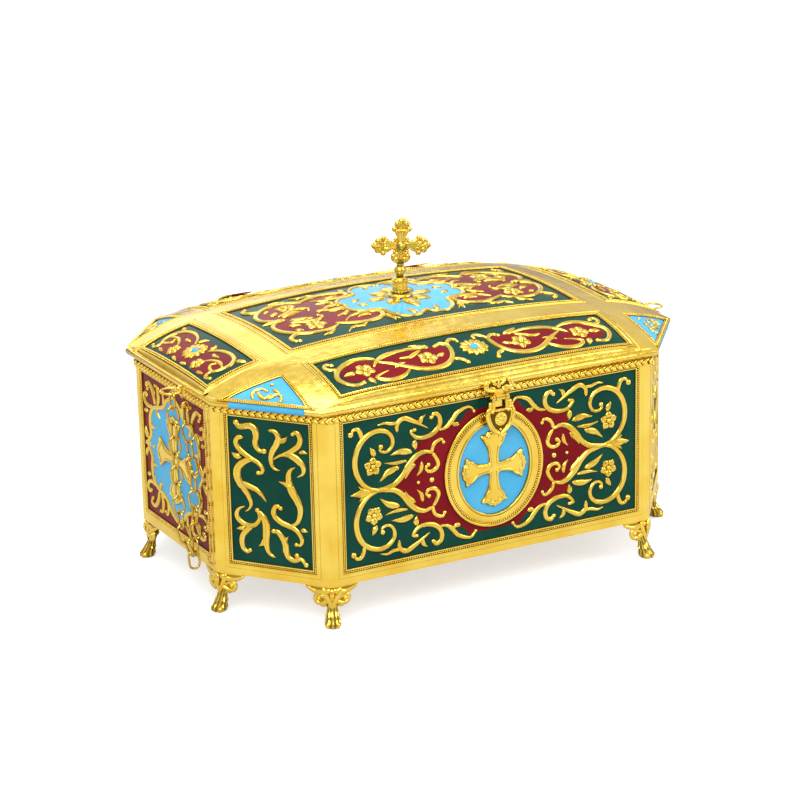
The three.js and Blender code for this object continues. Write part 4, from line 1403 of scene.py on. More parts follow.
@dataclass
class CasketBody:
    """The box: walls with their frames and enamelled fields, the mouldings, the inside and the floor."""

    finishes: Finishes
    gold: Shell = field(default_factory=Shell)
    relief: Shell = field(default_factory=Shell)
    enamel: dict[Slot, Shell] = field(default_factory=lambda: {Slot.GREEN: Shell(), Slot.RED: Shell(),
            Slot.BLUE: Shell()})

    def build(self) -> None:
        """Makes every piece of the box."""
        beads = BeadRows("casket_beads", self.finishes.brass, Body.CASKET)
        for number, panel in enumerate(wall_panels()):
            spot = Spot(panel.plane)
            edge = rectangle(-panel.length / 2, UNDERSIDE_Z, panel.length / 2, SEAM_Z)
            mouldings(self.gold, spot, panel.outline, FRAME_RINGS, 400, edge)
            beads.along(spot, panel.outline, 1.55, 0.3, 400)
            ground = Slot.RED if panel.kind is Wall.END else Slot.GREEN
            plate(self.enamel[ground], spot, loop_edges(panel.outline, 0.3), -RECESS)
            if panel.kind is Wall.LONG:
                self.long_panel(panel, beads)
            elif panel.kind is Wall.END:
                self.end_panel(panel)
            else:
                axes = (1.0, 0.0, 0.0, 1.0) if number % 4 == 2 else (-1.0, 0.0, 0.0, 1.0)
                for item in CHAMFER_PANEL:
                    item.lay(self.relief, Spot(panel.plane, axes), WALL_BASE)
        self.inside()
        self.gold.piece("casket_shell", self.finishes.brass, Slot.BRASS, Body.CASKET, "casket_body")
        self.relief.piece("casket_scrolls", self.finishes.brass, Slot.BRASS, Body.CASKET)
        for slot, shell in self.enamel.items():
            shell.piece("casket_" + slot.value, self.finishes.of(slot), slot, Body.CASKET)
        beads.build()

    def quarters(self, panel: WallPanel, quarter: list[Ornament], axis: list[Ornament]) -> None:
        """Lays a design in the four quarters of a field, and the rest on its long axis.

        Args:
            panel: the wall.
            quarter: the design of one quarter.
            axis: what stands on the long axis.
        """
        for sx in (1.0, -1.0):
            for sy in (1.0, -1.0):
                for item in quarter:
                    item.lay(self.relief, Spot(panel.plane, (sx, 0, 0, sy), (0, PANEL_MIDDLE_Z)), WALL_BASE)
            for item in axis:
                item.lay(self.relief, Spot(panel.plane, (sx, 0, 0, 1), (0, PANEL_MIDDLE_Z)), WALL_BASE)

    def long_panel(self, panel: WallPanel, beads: BeadRows) -> None:
        """The front or the back: scrolls, a red field and an oval medallion with a cross.

        Args:
            panel: the wall.
            beads: the box's bead rows.
        """
        spot = Spot(panel.plane, shift=(0, PANEL_MIDDLE_Z))
        red = smooth([tuple(p) for p in mirrored(FRONT_RED)], 1.6, True)
        plate(self.enamel[Slot.RED], spot, red, -0.45)
        self.quarters(panel, FRONT_QUARTER, FRONT_AXIS)
        plate(self.enamel[Slot.BLUE], spot, oval(24, 28.2), -0.2)
        inner, outer = oval(*MEDALLION_INNER, 96), oval(*MEDALLION_OUTER, 96)
        # Distance across, height and darkening of each ring of the medallion's frame; the darkening at its
        # feet and in its grooves is painted shade with patina.
        ring = [(0, -0.3, 1), (0, 0.8, 0.4), (0.04, 1.15, 0), (0.12, 1.15, 0), (0.16, 0.85, 0.9),
                (0.2, 0.95, 0.1), (0.4, 1.05, 0), (0.62, 1.0, 0), (0.66, 0.75, 0.8), (0.78, 0.75, 0.8),
                (0.82, 1.0, 0), (0.88, 1.1, 0), (0.96, 1.0, 0), (1, 0.6, 0.3), (1.0, -0.8, 1)]
        points = np.stack([spot.place(inner * (1 - q) + outer * q, w) for q, w, _ in ring])
        self.relief.add(points, grid_faces(len(ring), 96, closed_columns=True),
                        np.repeat([p for _, _, p in ring], 96), spot.flip)
        beads.loops.append(spot.place(inner * 0.28 + outer * 0.72, 0.85))
        self.cross(spot, MEDALLION_CROSS, MEDALLION_BORDER, (-0.25, 0.95, 0.8), (0.7, 0.9))
        for reach, turn in ((18.6, 0), (20.4, 90), (18.6, 180), (20.4, 270)):
            for aside in (-2.6, 0.0, 2.6):
                c, s = direction(turn)
                at = reach - 1.4 * abs(aside) / 2.6 - 0.6
                middle = (at * c - aside * s, at * s + aside * c)
                line = [(middle[0] - 0.9 * c, middle[1] - 0.9 * s), middle, (middle[0] + 0.9 * c,
                        middle[1] + 0.9 * s)]
                Stroke(line, 0.9, (0.7, 0.7), V, height=0.25).lay(self.relief, spot, 0.9)

    def cross(self, spot: Spot, size: CrossSize, border: CrossSize, heights: tuple[float, float, float],
              line: tuple[float, float]) -> None:
        """A raised flared cross with a raised border.

        Args:
            spot: where the cross lies.
            size: the cross's arms, flare and waist.
            border: the same for the border's line.
            heights: its foot, its face, and how far its sides slope in.
            line: the spacing of the outline's points, and the height that the border rises from.
        """
        raised(self.relief, spot, smooth(cross_outline(*size).tolist(), line[0], True), *heights)
        edge = cross_outline(*border).tolist()
        Stroke(edge + edge[:1], 1.1, (1, 1), S, height=0.5).lay(self.relief, spot, line[1])

    def end_panel(self, panel: WallPanel) -> None:
        """A short end: a scalloped blue cartouche with a cross, scrolls in the corners.

        Args:
            panel: the wall.
        """
        spot = Spot(panel.plane, shift=(0, PANEL_MIDDLE_Z))
        blue = smooth([tuple(p) for p in mirrored(END_BLUE)], 1.5, True)
        plate(self.enamel[Slot.BLUE], spot, blue, -0.42)
        self.quarters(panel, END_QUARTER, END_AXIS)
        self.cross(spot, END_CROSS, END_BORDER, (-0.5, 0.85, 0.85), (0.8, 0.8))

    def inside(self) -> None:
        """The rim, the inside walls, the floor and the underside."""
        # The inside walls darken towards the floor and its corner: painted shade.
        wall_rings(self.gold, [(0.0, SEAM_Z, 0), (-WALL, SEAM_Z, 0.1), (-WALL, FLOOR_Z + 0.4, 0.3),
                               (-WALL - 0.4, FLOOR_Z, 0.8)], CHAMFER)
        for offset, z, down in ((-WALL - 0.4, FLOOR_Z, False), (0.0, UNDERSIDE_Z, True)):
            flat = np.array([(x, y, z) for x, y in octagon(offset)])
            self.gold.add(flat, [tuple(range(8))], 0.1, down)


# ---- The lid ----
# Distance out, height and darkening of each ring of a lid field's frame; the darkening in its grooves and at
# its foot is painted shade with patina.
LID_RINGS = [(0.0, -0.75, 1.0), (0.0, 0.05, 0.6), (0.25, 0.36, 0.0), (0.75, 0.36, 0.1), (0.95, 0.04, 0.9),
             (2.1, 0.04, 0.9), (2.3, 0.26, 0.1), (3.2, 0.3, 0.0), (3.35, 0.1, 0.4), (3.75, 0.1, 0.4),
             (3.9, 0.3, 0.0), (4.9, 0.3, 0.0), (5.05, 0.1, 0.4), (5.4, 0.1, 0.4), (5.5, 0.2, 0.0),
             (6.2, 0.12, 0.0), (6.5, -0.1, 0.6)]
CORNER_RINGS = [(0.0, -0.75, 1.0), (0.0, 0.05, 0.6), (0.25, 0.3, 0.0), (0.7, 0.3, 0.2), (0.9, 0.02, 0.9),
                (1.9, 0.02, 0.9), (2.1, 0.24, 0.1), (2.7, 0.2, 0), (2.9, -0.1, 0.8)]


@dataclass
class Lid:
    """The pillow-shaped lid: its gold bands, nine enamelled fields, edge roll and hollow underside."""

    finishes: Finishes
    dome: Dome = Dome()
    gold: Shell = field(default_factory=Shell)
    relief: Shell = field(default_factory=Shell)
    enamel: dict[Slot, Shell] = field(default_factory=lambda: {Slot.GREEN: Shell(), Slot.RED: Shell(),
            Slot.BLUE: Shell()})

    def build(self) -> None:
        """Makes every piece of the lid."""
        self.beads = BeadRows("lid_beads", self.finishes.brass, Body.LID, 0.5)
        x, y = TOP_FIELD
        fields = [self.frame_field(rectangle(-x, -y, x, y), Slot.GREEN)]
        for side in (-1.0, 1.0):
            low, high = sorted((side * SLOPE_FIELD[1], side * SLOPE_FIELD[2]))
            fields.append(self.frame_field(rectangle(-SLOPE_FIELD[0], low, SLOPE_FIELD[0], high),
                                           Slot.GREEN))
            low, high = sorted((side * END_FIELD[1], side * END_FIELD[2]))
            fields.append(self.frame_field(rectangle(low, -END_FIELD[0], high, END_FIELD[0]), Slot.GREEN))
        for sx in (-1.0, 1.0):
            for sy in (-1.0, 1.0):
                corner = np.array([(sx * px, sy * py) for px, py in CORNER_FIELD])
                fields.append(self.frame_field(corner[::int(sx * sy)], Slot.BLUE))
        self.surface(fields)
        self.top()
        self.slopes_and_ends()
        self.gold.piece("lid_shell", self.finishes.brass, Slot.BRASS, Body.LID, "lid")
        self.relief.piece("lid_scrolls", self.finishes.brass, Slot.BRASS, Body.LID)
        for slot, shell in self.enamel.items():
            shell.piece("lid_" + slot.value, self.finishes.of(slot), slot, Body.LID)
        self.beads.build()

    def frame_field(self, outline: Array, slot: Slot) -> Array:
        """Frames a field and lays its ground; the outline comes back with its sides divided.

        Args:
            outline: the closed outline.
            slot: the ground's slot.

        Returns:
            The outline, its sides divided.
        """
        spot = Spot(self.dome)
        rings = CORNER_RINGS if slot is Slot.BLUE else LID_RINGS
        mouldings(self.gold, spot, outline, rings, 3.0)
        self.beads.along(spot, outline, 1.5 if slot is Slot.GREEN else 1.4, 0.22, 3.0)
        edge = divided(loop_edges(outline, 0.25), outline, 3.0)
        plate(self.enamel[slot], spot, edge, -RECESS, 3.0)
        return divided(outline, outline, 3.0)

    def surface(self, fields: list[Array]) -> None:
        """The gold surface between the fields, the edge roll and the hollow below.

        Args:
            fields: the framed fields' outlines.
        """
        plan = np.array(octagon(ROLL_OFFSET, LID_CHAMFER))
        edge = divided(plan, plan, 3.0)
        extra = [grid_points((-150, -109), (150, 109), 3.2)]
        for inset in (0.12, 0.5, 1.2, 2.2, 3.6, 5.4):
            extra.append(divided(np.array(octagon(ROLL_OFFSET - inset, LID_CHAMFER)), plan, 3.0))
        points = np.concatenate(extra)
        points = points[inside(points, loop_edges(plan, -0.1))]
        flat, triangles = fill(edge, fields, points)
        self.gold.add(np.concatenate([flat, self.dome.height(flat[:, 0], flat[:, 1])[:, None]], 1),
                      triangles)
        roll = []
        for k in range(-4, 6):
            angle = math.radians(k * 22.5)
            roll.append((ROLL_OFFSET + ROLL_RADIUS * math.cos(angle), ROLL_Z + ROLL_RADIUS * math.sin(angle),
                         0.0))
        # The roll's last line, where it meets the dome, is darkened: painted shade.
        roll[-1] = (ROLL_OFFSET - 0.4, LID_SPRING_Z - 0.05, 0.5)
        wall_rings(self.gold, roll, LID_CHAMFER)
        # The lid's underside and inside walls are darkened, most at the top of the walls: painted shade.
        low, top = LID_BOTTOM_Z, LID_SPRING_Z - LID_WALL
        wall_rings(self.gold, [(ROLL_OFFSET, low, 0), (-WALL - 0.3, low, 0.2)], LID_CHAMFER, True)
        wall_rings(self.gold, [(-WALL - 0.3, low, 0.2), (-WALL - 0.3, top, 0.6)], LID_CHAMFER, True)
        hollow = np.array(octagon(-WALL - 0.3, LID_CHAMFER))
        rim = divided(hollow, hollow, 8.0)
        inner = grid_points((-146, -105), (146, 105), 8.0)
        flat, triangles = fill(rim, [], inner[inside(inner, loop_edges(hollow, -2))])
        below = Dome(LID_WALL)
        height = np.minimum(below.height(flat[:, 0], flat[:, 1]), LID_SPRING_Z + LID_RISE - LID_WALL)
        height[:len(rim)] = top
        self.gold.add(np.concatenate([flat, height[:, None]], 1), triangles, 0.15, True)
        self.blue_rolls()

    def blue_rolls(self) -> None:
        """The light blue stretch of the roll at each cut corner."""
        for sx in (-1, 1):
            for sy in (-1, 1):
                rows = []
                for k in range(-3, 5):
                    angle = math.radians(k * 22.5)
                    plan = octagon(ROLL_OFFSET + (ROLL_RADIUS + 0.1) * math.cos(angle), LID_CHAMFER)
                    a, b = np.array(plan[0]), np.array(plan[1])
                    ends = [a + (b - a) * 0.16, a + (b - a) * 0.84]
                    z = ROLL_Z + (ROLL_RADIUS + 0.1) * math.sin(angle)
                    rows.append([(sx * p[0], sy * p[1], z) for p in ends])
                self.enamel[Slot.BLUE].add(np.array(rows), grid_faces(8, 2), 0.0, sx * sy > 0)

    def lay(self, items: list[Ornament], axes: tuple[float, float, float, float]) -> None:
        """Lays ornaments on the dome with the design's axes turned or mirrored."""
        for item in items:
            item.lay(self.relief, Spot(self.dome, axes), LID_BASE)

    def top(self) -> None:
        """The top field: two red wings, the blue middle and the petals round the finial."""
        spot = Spot(self.dome)
        wing = np.array(TOP_RED + [(x, -y) for x, y in reversed(TOP_RED)], float)
        for sx in (-1.0, 1.0):
            line = smooth([(sx * x, y) for x, y in wing], 1.6, True)
            plate(self.enamel[Slot.RED], spot, line if sx > 0 else line[::-1], LID_RED, 4.0)
            for sy in (-1.0, 1.0):
                self.lay(TOP_QUARTER, (sx, 0, 0, sy))
            self.lay(TOP_AXIS, (sx, 0, 0, 1))
        blue = smooth([tuple(p) for p in mirrored(TOP_BLUE)], 1.6, True)
        plate(self.enamel[Slot.BLUE], spot, blue, LID_BLUE, 4.0)
        self.lay(TOP_CROWN, (1, 0, 0, 1))

    def slopes_and_ends(self) -> None:
        """The fields of the two slopes, the two ends and the four cut corners."""
        spot = Spot(self.dome)
        red = self.enamel[Slot.RED]
        for sy in (-1.0, 1.0):
            for sx in (-1.0, 1.0):
                line = smooth([(sx * x, sy * y) for x, y in SLOPE_RED], 1.6, True)
                plate(red, spot, line, LID_RED, 4.0)
                self.lay(SLOPE_HALF, (sx, 0, 0, sy))
                self.lay(CORNER_TRIANGLE, (0, sx, sy, 0))
                self.lay(LID_END_HALF, (0, sx, sy, 0))
            self.lay([Flower((0.8, 86.2), 8.6, 12, 15, (1, 0.92), 0)], (1, 0, 0, sy))
            self.eye((0.8, 86.2 * sy), 3.0, 2.6)
        for sx in (-1.0, 1.0):
            line = smooth([(sx * v, u) for u, v in LID_END_RED], 1.6, True)
            plate(red, spot, line, LID_RED, 4.0)
            self.lay([Flower((0, 134.4), 8.4, 12, 15, (1, 0.92), 0)], (0, sx, 1, 0))
            self.eye((134.4 * sx, 0), 2.3, 2.8)

    def eye(self, middle: tuple[float, float], rx: float, ry: float) -> None:
        """The blue bead in the middle of a rosette."""
        Dot((0, 0), 1.0, (rx, ry), 1.15).lay(self.enamel[Slot.BLUE], Spot(self.dome, shift=middle), -0.1)


# ---- Cast pieces ----
def tube(shell: Shell, points: list[tuple[float, ...]], radii: list[float], sides: int = 10,
         flat: float = 1.0, step: float = 0.8, across: Point = (0, 0, 1)) -> None:
    """A smooth tapering bar through points in space.

    Args:
        shell: the shell to add to.
        points: the bar's centre line.
        radii: its radius along the line, evenly spread.
        sides: the faces round it.
        flat: its thickness across as a share of its width.
        step: the distance between rings.
        across: the direction in which it is thinner.
    """
    line = smooth(points, step)
    count = len(line)
    tangent = np.gradient(line, axis=0)
    tangent /= np.maximum(np.linalg.norm(tangent, axis=1, keepdims=True), 1e-9)
    ahead = np.broadcast_to(np.array(across, float), tangent.shape)
    wide = np.cross(ahead, tangent)
    weak = np.linalg.norm(wide, axis=1) < 0.15
    wide[weak] = np.cross(np.array([0.9, 0.3, 0.2]), tangent[weak])
    wide /= np.linalg.norm(wide, axis=1, keepdims=True)
    thin = np.cross(tangent, wide)
    r = np.interp(np.linspace(0, 1, count), np.linspace(0, 1, len(radii)), radii)
    along = np.concatenate([[0], np.cumsum(np.linalg.norm(np.diff(line, axis=0), axis=1))])
    near = np.minimum(along, along[-1] - along) / np.maximum(r, 0.05)
    r = r * np.sqrt(np.clip(1 - (1 - np.clip(near, 0.02, 1)) ** 2, 0.005, 1))
    turns = turns_of(sides)
    ring = wide[:, None, :] * np.cos(turns)[None, :, None] + thin[:, None, :] * (np.sin(turns) * flat)[None,
            :, None]
    shell.add(line[:, None, :] + ring * r[:, None, None], capped_faces(count, sides))


def ball(shell: Shell, middle: Point, radii: Point, patina_and_shade: float = 0.0,
         turn: Matrix | None = None) -> None:
    """An egg-shaped lump.

    Args:
        shell: the shell to add to.
        middle: its middle.
        radii: its half sizes.
        patina_and_shade: how far its colour is darkened, by patina and by painted shade.
        turn: its turn, if it has one.
    """
    turns, rows = turns_of(12), np.linspace(-math.pi / 2 + 0.02, math.pi / 2 - 0.02, 8)
    unit = np.stack([np.cos(rows)[:, None] * np.cos(turns), np.cos(rows)[:, None] * np.sin(turns),
                     np.sin(rows)[:, None] + 0 * turns], -1) * np.array(radii)
    if turn is not None:
        unit = unit @ np.array(turn.to_3x3()).T
    shell.add(unit + np.array(middle), capped_faces(8, 12), patina_and_shade)


def lathe(shell: Shell, profile: list[Point], sides: int = 40) -> None:
    """A turned piece about the Z axis, from radius, height and darkening (patina and painted shade), listed
    from the bottom up.

    Args:
        shell: the shell to add to.
        profile: radius, height and darkening of each line.
        sides: the faces round it.
    """
    turns = turns_of(sides)
    rings = [[(r * math.cos(a), r * math.sin(a), z) for a in turns] for r, z, _ in profile]
    shell.add(np.array(rings), capped_faces(len(profile), sides), np.repeat([p for _, _, p in profile],
            sides))


@dataclass
class Feet:
    """Eight cast feet: a paw on a ribbed leg, a leaf in front and a scrolled wing under each wall."""

    finishes: Finishes
    names: list[str] = field(default_factory=lambda: ["front_right", "right_front", "right_back",
            "back_right", "back_left", "left_back", "left_front", "front_left"])

    def build(self) -> None:
        """Makes the eight feet one piece."""
        shell = Shell()
        corners = np.array(octagon(0.0))
        for i in range(8):
            arms = [corners[i - 1] - corners[i], corners[(i + 1) % 8] - corners[i]]
            arms = [a / np.linalg.norm(a) for a in arms]
            out = -(arms[0] + arms[1])
            self.foot(shell, corners[i], arms, out / np.linalg.norm(out))
        shell.piece("feet", self.finishes.brass, Slot.BRASS, Body.CASKET, *["foot_" + n for n in self.names])

    def foot(self, shell: Shell, corner: Array, arms: list[Array], out: Array) -> None:
        """One foot at a corner of the plan.

        Args:
            shell: the shell to add to.
            corner: the corner of the plan.
            arms: the directions of the two walls away from it.
            out: the direction outwards from it.
        """
        side = np.array([-out[1], out[0]])

        def at(o: float, t: float, z: float) -> Point:
            """A point outwards and sideways from the corner, at a height."""
            p = corner + out * (o - 2) + side * t
            return (float(p[0]), float(p[1]), z)
        turns = turns_of(20)
        rings = [(0.9, 0.0, 3.0, 3.0), (0.9, 0.8, 4.4, 4.2), (0.7, 2.2, 4.6, 4.6), (0.2, 3.8, 4.0, 4.2),
                 (-0.6, 5.6, 3.2, 3.6), (-1.0, 6.2, 3.7, 4.1), (-1.2, 6.9, 3.0, 3.5), (-2.2, 10.5, 2.3, 3.0),
                 (-3.0, 13.5, 2.8, 3.7), (-3.4, 14.4, 3.5, 4.4), (-3.6, 15.3, 2.9, 3.8),
                 (-4.2, 18.5, 3.6, 4.8), (-4.6, 23.6, 4.8, 6.2)]
        rows, patina_and_shade = [], []
        for o, z, ro, rt in rings:
            rib = 1 + 0.09 * np.cos(turns * 10) * (z > 1)
            p = corner + np.outer(o - 2 + ro * rib * np.cos(turns), out) + np.outer(rt * rib * np.sin(turns),
                    side)
            rows.append(np.concatenate([p, np.full((20, 1), z)], 1))
            # Darker between the ribs: painted shade with patina.
            patina_and_shade.append(np.clip(-np.cos(turns * 10), 0, 1) * 0.8)
        shell.add(np.stack(rows), capped_faces(len(rings), 20), np.concatenate(patina_and_shade))
        turn = Matrix.Rotation(math.atan2(out[1], out[0]), 4, "Z")
        for t in (-2.9, 0.0, 2.9):
            ball(shell, at(2.9 - abs(t) * 0.3, t, 1.75), (2.5, 1.55, 1.7), 0.0, turn)
            ball(shell, at(4.4 - abs(t) * 0.3, t, 0.9), (1.1, 0.9, 0.9), 0.0, turn)
        for t in (-1.0, 1.0):
            tube(shell, [at(-0.6, 5.0 * t, 23.2), at(0.1, 3.4 * t, 19), at(0.3, 1.6 * t, 15),
                         at(0.2, 0.3 * t, 10.6)], [1.2, 1.9, 1.5, 0.5], 8, 0.5, 0.9, (out[0], out[1], 0))
        tube(shell, [at(1.2, 0, 22.8), at(1.5, 0, 18.6), at(0.9, 0, 14.8)], [1.0, 1.5, 0.4], 8, 0.8, 0.9,
             (out[0], out[1], 0))
        for arm in arms:
            self.wing(shell, corner, arm, out)

    def wing(self, shell: Shell, corner: Array, arm: Array, out: Array) -> None:
        """A scrolled wing under one wall.

        Args:
            shell: the shell to add to.
            corner: the corner of the plan.
            arm: the wall's direction.
            out: the direction outwards from the corner.
        """
        normal = np.array([-arm[1], arm[0]])
        if normal @ out < 0:
            normal = -normal

        def at(s: float, z: float, depth: float = -1.5) -> Point:
            """A point along the wall, at a height and a depth inside it."""
            p = corner + arm * s + normal * depth
            return (float(p[0]), float(p[1]), z)
        across = (float(normal[0]), float(normal[1]), 0.0)
        lines = [([(1, 16), (4.2, 14.6), (7.4, 13.2), (10.2, 14), (11.2, 16.4), (9.8, 18.4), (7.8, 17.6),
                   (8.2, 16)], [1.5, 1.4, 1.3, 1.0]), ([(1, 21.8), (5, 20.6), (9.4, 20.0), (13, 21.0),
                (17, 22.9)], [2.0, 1.9, 1.4, 0.7]), ([(2, 18.4), (5, 17.2), (7.8, 18.4), (10.6, 20.2)],
                [1.5, 1.3, 1.0]), ([(4.6, 13.6), (6.2, 11.9), (8.6, 12.4)], [1.0, 0.9, 0.4]),
                 ([(0, 23.2), (9, 23.2), (16.6, 23.2)], [0.5, 0.5, 0.4])]
        for points, radii in lines:
            tube(shell, [at(s, z) for s, z in points], radii, 8, 0.9, 0.9, across)
        ball(shell, at(8.9, 16.2, -1.2), (1.3, 1.3, 1.3))
        outline = [(0, 23.6), (0, 15), (4.6, 14.4), (8, 13.4), (10.6, 15), (10.4, 18.6), (12.6, 20.8),
                   (16.6, 22.6), (16.6, 23.6)]
        back, front = [at(s, z, -2.4) for s, z in outline], [at(s, z, -1.2) for s, z in outline]
        lefty = arm[0] * normal[1] - arm[1] * normal[0] > 0
        self.slab(shell, front, back, not lefty)

    def slab(self, shell: Shell, front: list[Point], back: list[Point], flip: bool) -> None:
        """A thin plate between two like outlines.

        Args:
            shell: the shell to add to.
            front: the outer outline.
            back: the inner outline.
            flip: whether the faces are turned round.
        """
        n = len(front)
        flat = np.array(front)
        u = flat @ np.array([*(np.array(front[-1]) - np.array(front[0]))[:2], 0]) / 17.0
        _, triangles = fill(np.stack([u, flat[:, 2]], -1), [])
        faces = [tuple(t) for t in triangles] + [tuple(int(i) + n for i in t[::-1]) for t in triangles]
        faces += [(i, (i + 1) % n, (i + 1) % n + n, i + n) for i in range(n)]
        # The plate behind the scrolls is darkened: painted shade with patina.
        shell.add(np.array(front + back), faces, 0.6, flip)


@dataclass
class Finial:
    """The turned collar and the budded cross."""

    finishes: Finishes
    turn: float = -14.0
    middle: float = 182.6
    lean: float = 4.0
    # How far the whole cross is darkened beyond its patina: painted shade and painted dark reflection.
    age: float = 0.24

    def build(self) -> None:
        """Makes the collar and the cross."""
        collar = Shell()
        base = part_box("finial_collar")[0].z / MM
        # The third column darkens the collar's grooves: painted shade with patina.
        profile = [(7.4, 0, 0.8), (7.4, 0.6, 0), (6.9, 1.2, 0), (5.9, 1.5, 0.5), (5.3, 1.9, 0.9),
                   (4.8, 2.3, 0.9), (4.95, 2.7, 0.1), (4.95, 3.2, 0), (4.5, 3.5, 0.7), (4.5, 3.8, 0.2),
                   (4.6, 8.2, 0), (4.4, 8.9, 0), (4.9, 9.2, 0), (4.9, 9.6, 0), (4.3, 9.9, 0.4),
                   (3.3, 10.8, 0), (2.1, 11.5, 0.6), (0.02, 11.6, 0.6)]
        lathe(collar, [(r, base + z, p) for r, z, p in profile])
        collar.piece("collar", self.finishes.brass, Slot.BRASS, Body.LID, "finial_collar")
        cross = Shell()
        lathe(cross, [(0.02, 164.35, 0.5), (2.4, 164.35, 0.5), (2.5, 164.8, 0), (1.6, 165.2, 0.8),
                      (2.6, 165.6, 0), (3.4, 166.8, 0), (3.55, 167.7, 0), (3.3, 168.8, 0), (2.4, 169.9, 0),
                      (1.9, 170.5, 0.8), (2.3, 171.0, 0), (2.3, 171.5, 0), (2.0, 172, 0.6), (2.1, 176, 0),
                      (0.02, 177, 0)], 24)
        self.head(cross)
        # Darkens the whole cross: painted shade and painted dark reflection.
        cross.patina_and_shade = [p + self.age for p in cross.patina_and_shade]
        spin = np.array(Matrix.Rotation(math.radians(self.turn), 3,
                                        "Z") @ Matrix.Rotation(math.radians(self.lean), 3, "Y"))
        foot = np.array([0, 0, 164.3])
        cross.points = [(p - foot) @ spin.T + foot for p in cross.points]
        cross.piece("budded_cross", self.finishes.brass, Slot.BRASS, Body.LID, "finial_cross")

    def head(self, shell: Shell) -> None:
        """The cross itself, in the XZ plane before it is turned.

        Args:
            shell: the shell to add to.
        """
        for angle, reach in ((0, 18.4), (90, 17.0), (180, 18.4), (270, 11.2)):
            c, s = direction(angle)

            def at(r: float, a: float, y: float = 0.0) -> Point:
                """A point out along the arm and aside from it."""
                return (r * c - a * s, y, self.middle + r * s + a * c)
            for a in (-1.0, 0.0, 1.0):
                tube(shell, [at(1.5, a * 0.9), at(reach * 0.4, a * 1.1), at(reach * 0.62, a * 2.1)],
                     [1.7, 1.6, 1.5], 8, 1.1, 0.8, Y_AXIS)
            for a in (-1.0, 1.0):
                tube(shell, [at(reach * 0.3, a * 1.4), at(reach * 0.5, a * 2.9), at(reach * 0.56, a * 4.3)],
                     [1.3, 1.6, 1.3], 8, 1.0, 0.8, Y_AXIS)
                ball(shell, at(reach * 0.58, a * 4.4), (1.8, 1.5, 1.8))
                ball(shell, at(reach * 0.76, a * 2.6), (2.2, 1.6, 2.2))
            if angle != 270:
                ball(shell, at(reach * 0.83, 0), (2.7, 1.8, 2.7))
                ball(shell, at(reach * 0.68, 0), (3.0, 1.3, 3.0))
                ball(shell, at(reach - 1.5, 0), (1.5, 1.3, 1.5))
                tube(shell, [at(reach * 0.55, 0, -1.1), at(reach * 0.8, 0, -1.7), at(reach * 0.95, 0, -1.0)],
                     [0.5, 0.6, 0.4], 6, 1.0, 0.8, Y_AXIS)
        for angle in (45, 135, 225, 315):
            c, s = direction(angle)
            ball(shell, (5.3 * c, 0, self.middle + 5.3 * s), (1.3, 1.1, 1.3))
            tube(shell, [(2.6 * c, 0, self.middle + 2.6 * s), (5.2 * c, 0, self.middle + 5.2 * s)],
                 [0.9, 0.6], 8, 1.0, 0.8, Y_AXIS)
        for y in (-1.0, 1.0):
            ball(shell, (0, y * 1.2, self.middle), (3.5, 1.7, 3.5), 0.35)
            ball(shell, (0, y * 2.4, self.middle), (1.9, 1.1, 1.9))
        for a in (-1.0, 1.0):
            tube(shell, [(0, 0, 173.6), (a * 2.4, 0, 173.2), (a * 4.6, 0, 174.6), (a * 5.0, 0, 176.8),
                         (a * 3.6, 0, 177.2)], [1.5, 1.5, 1.2, 0.8], 8, 1.0, 0.7, Y_AXIS)


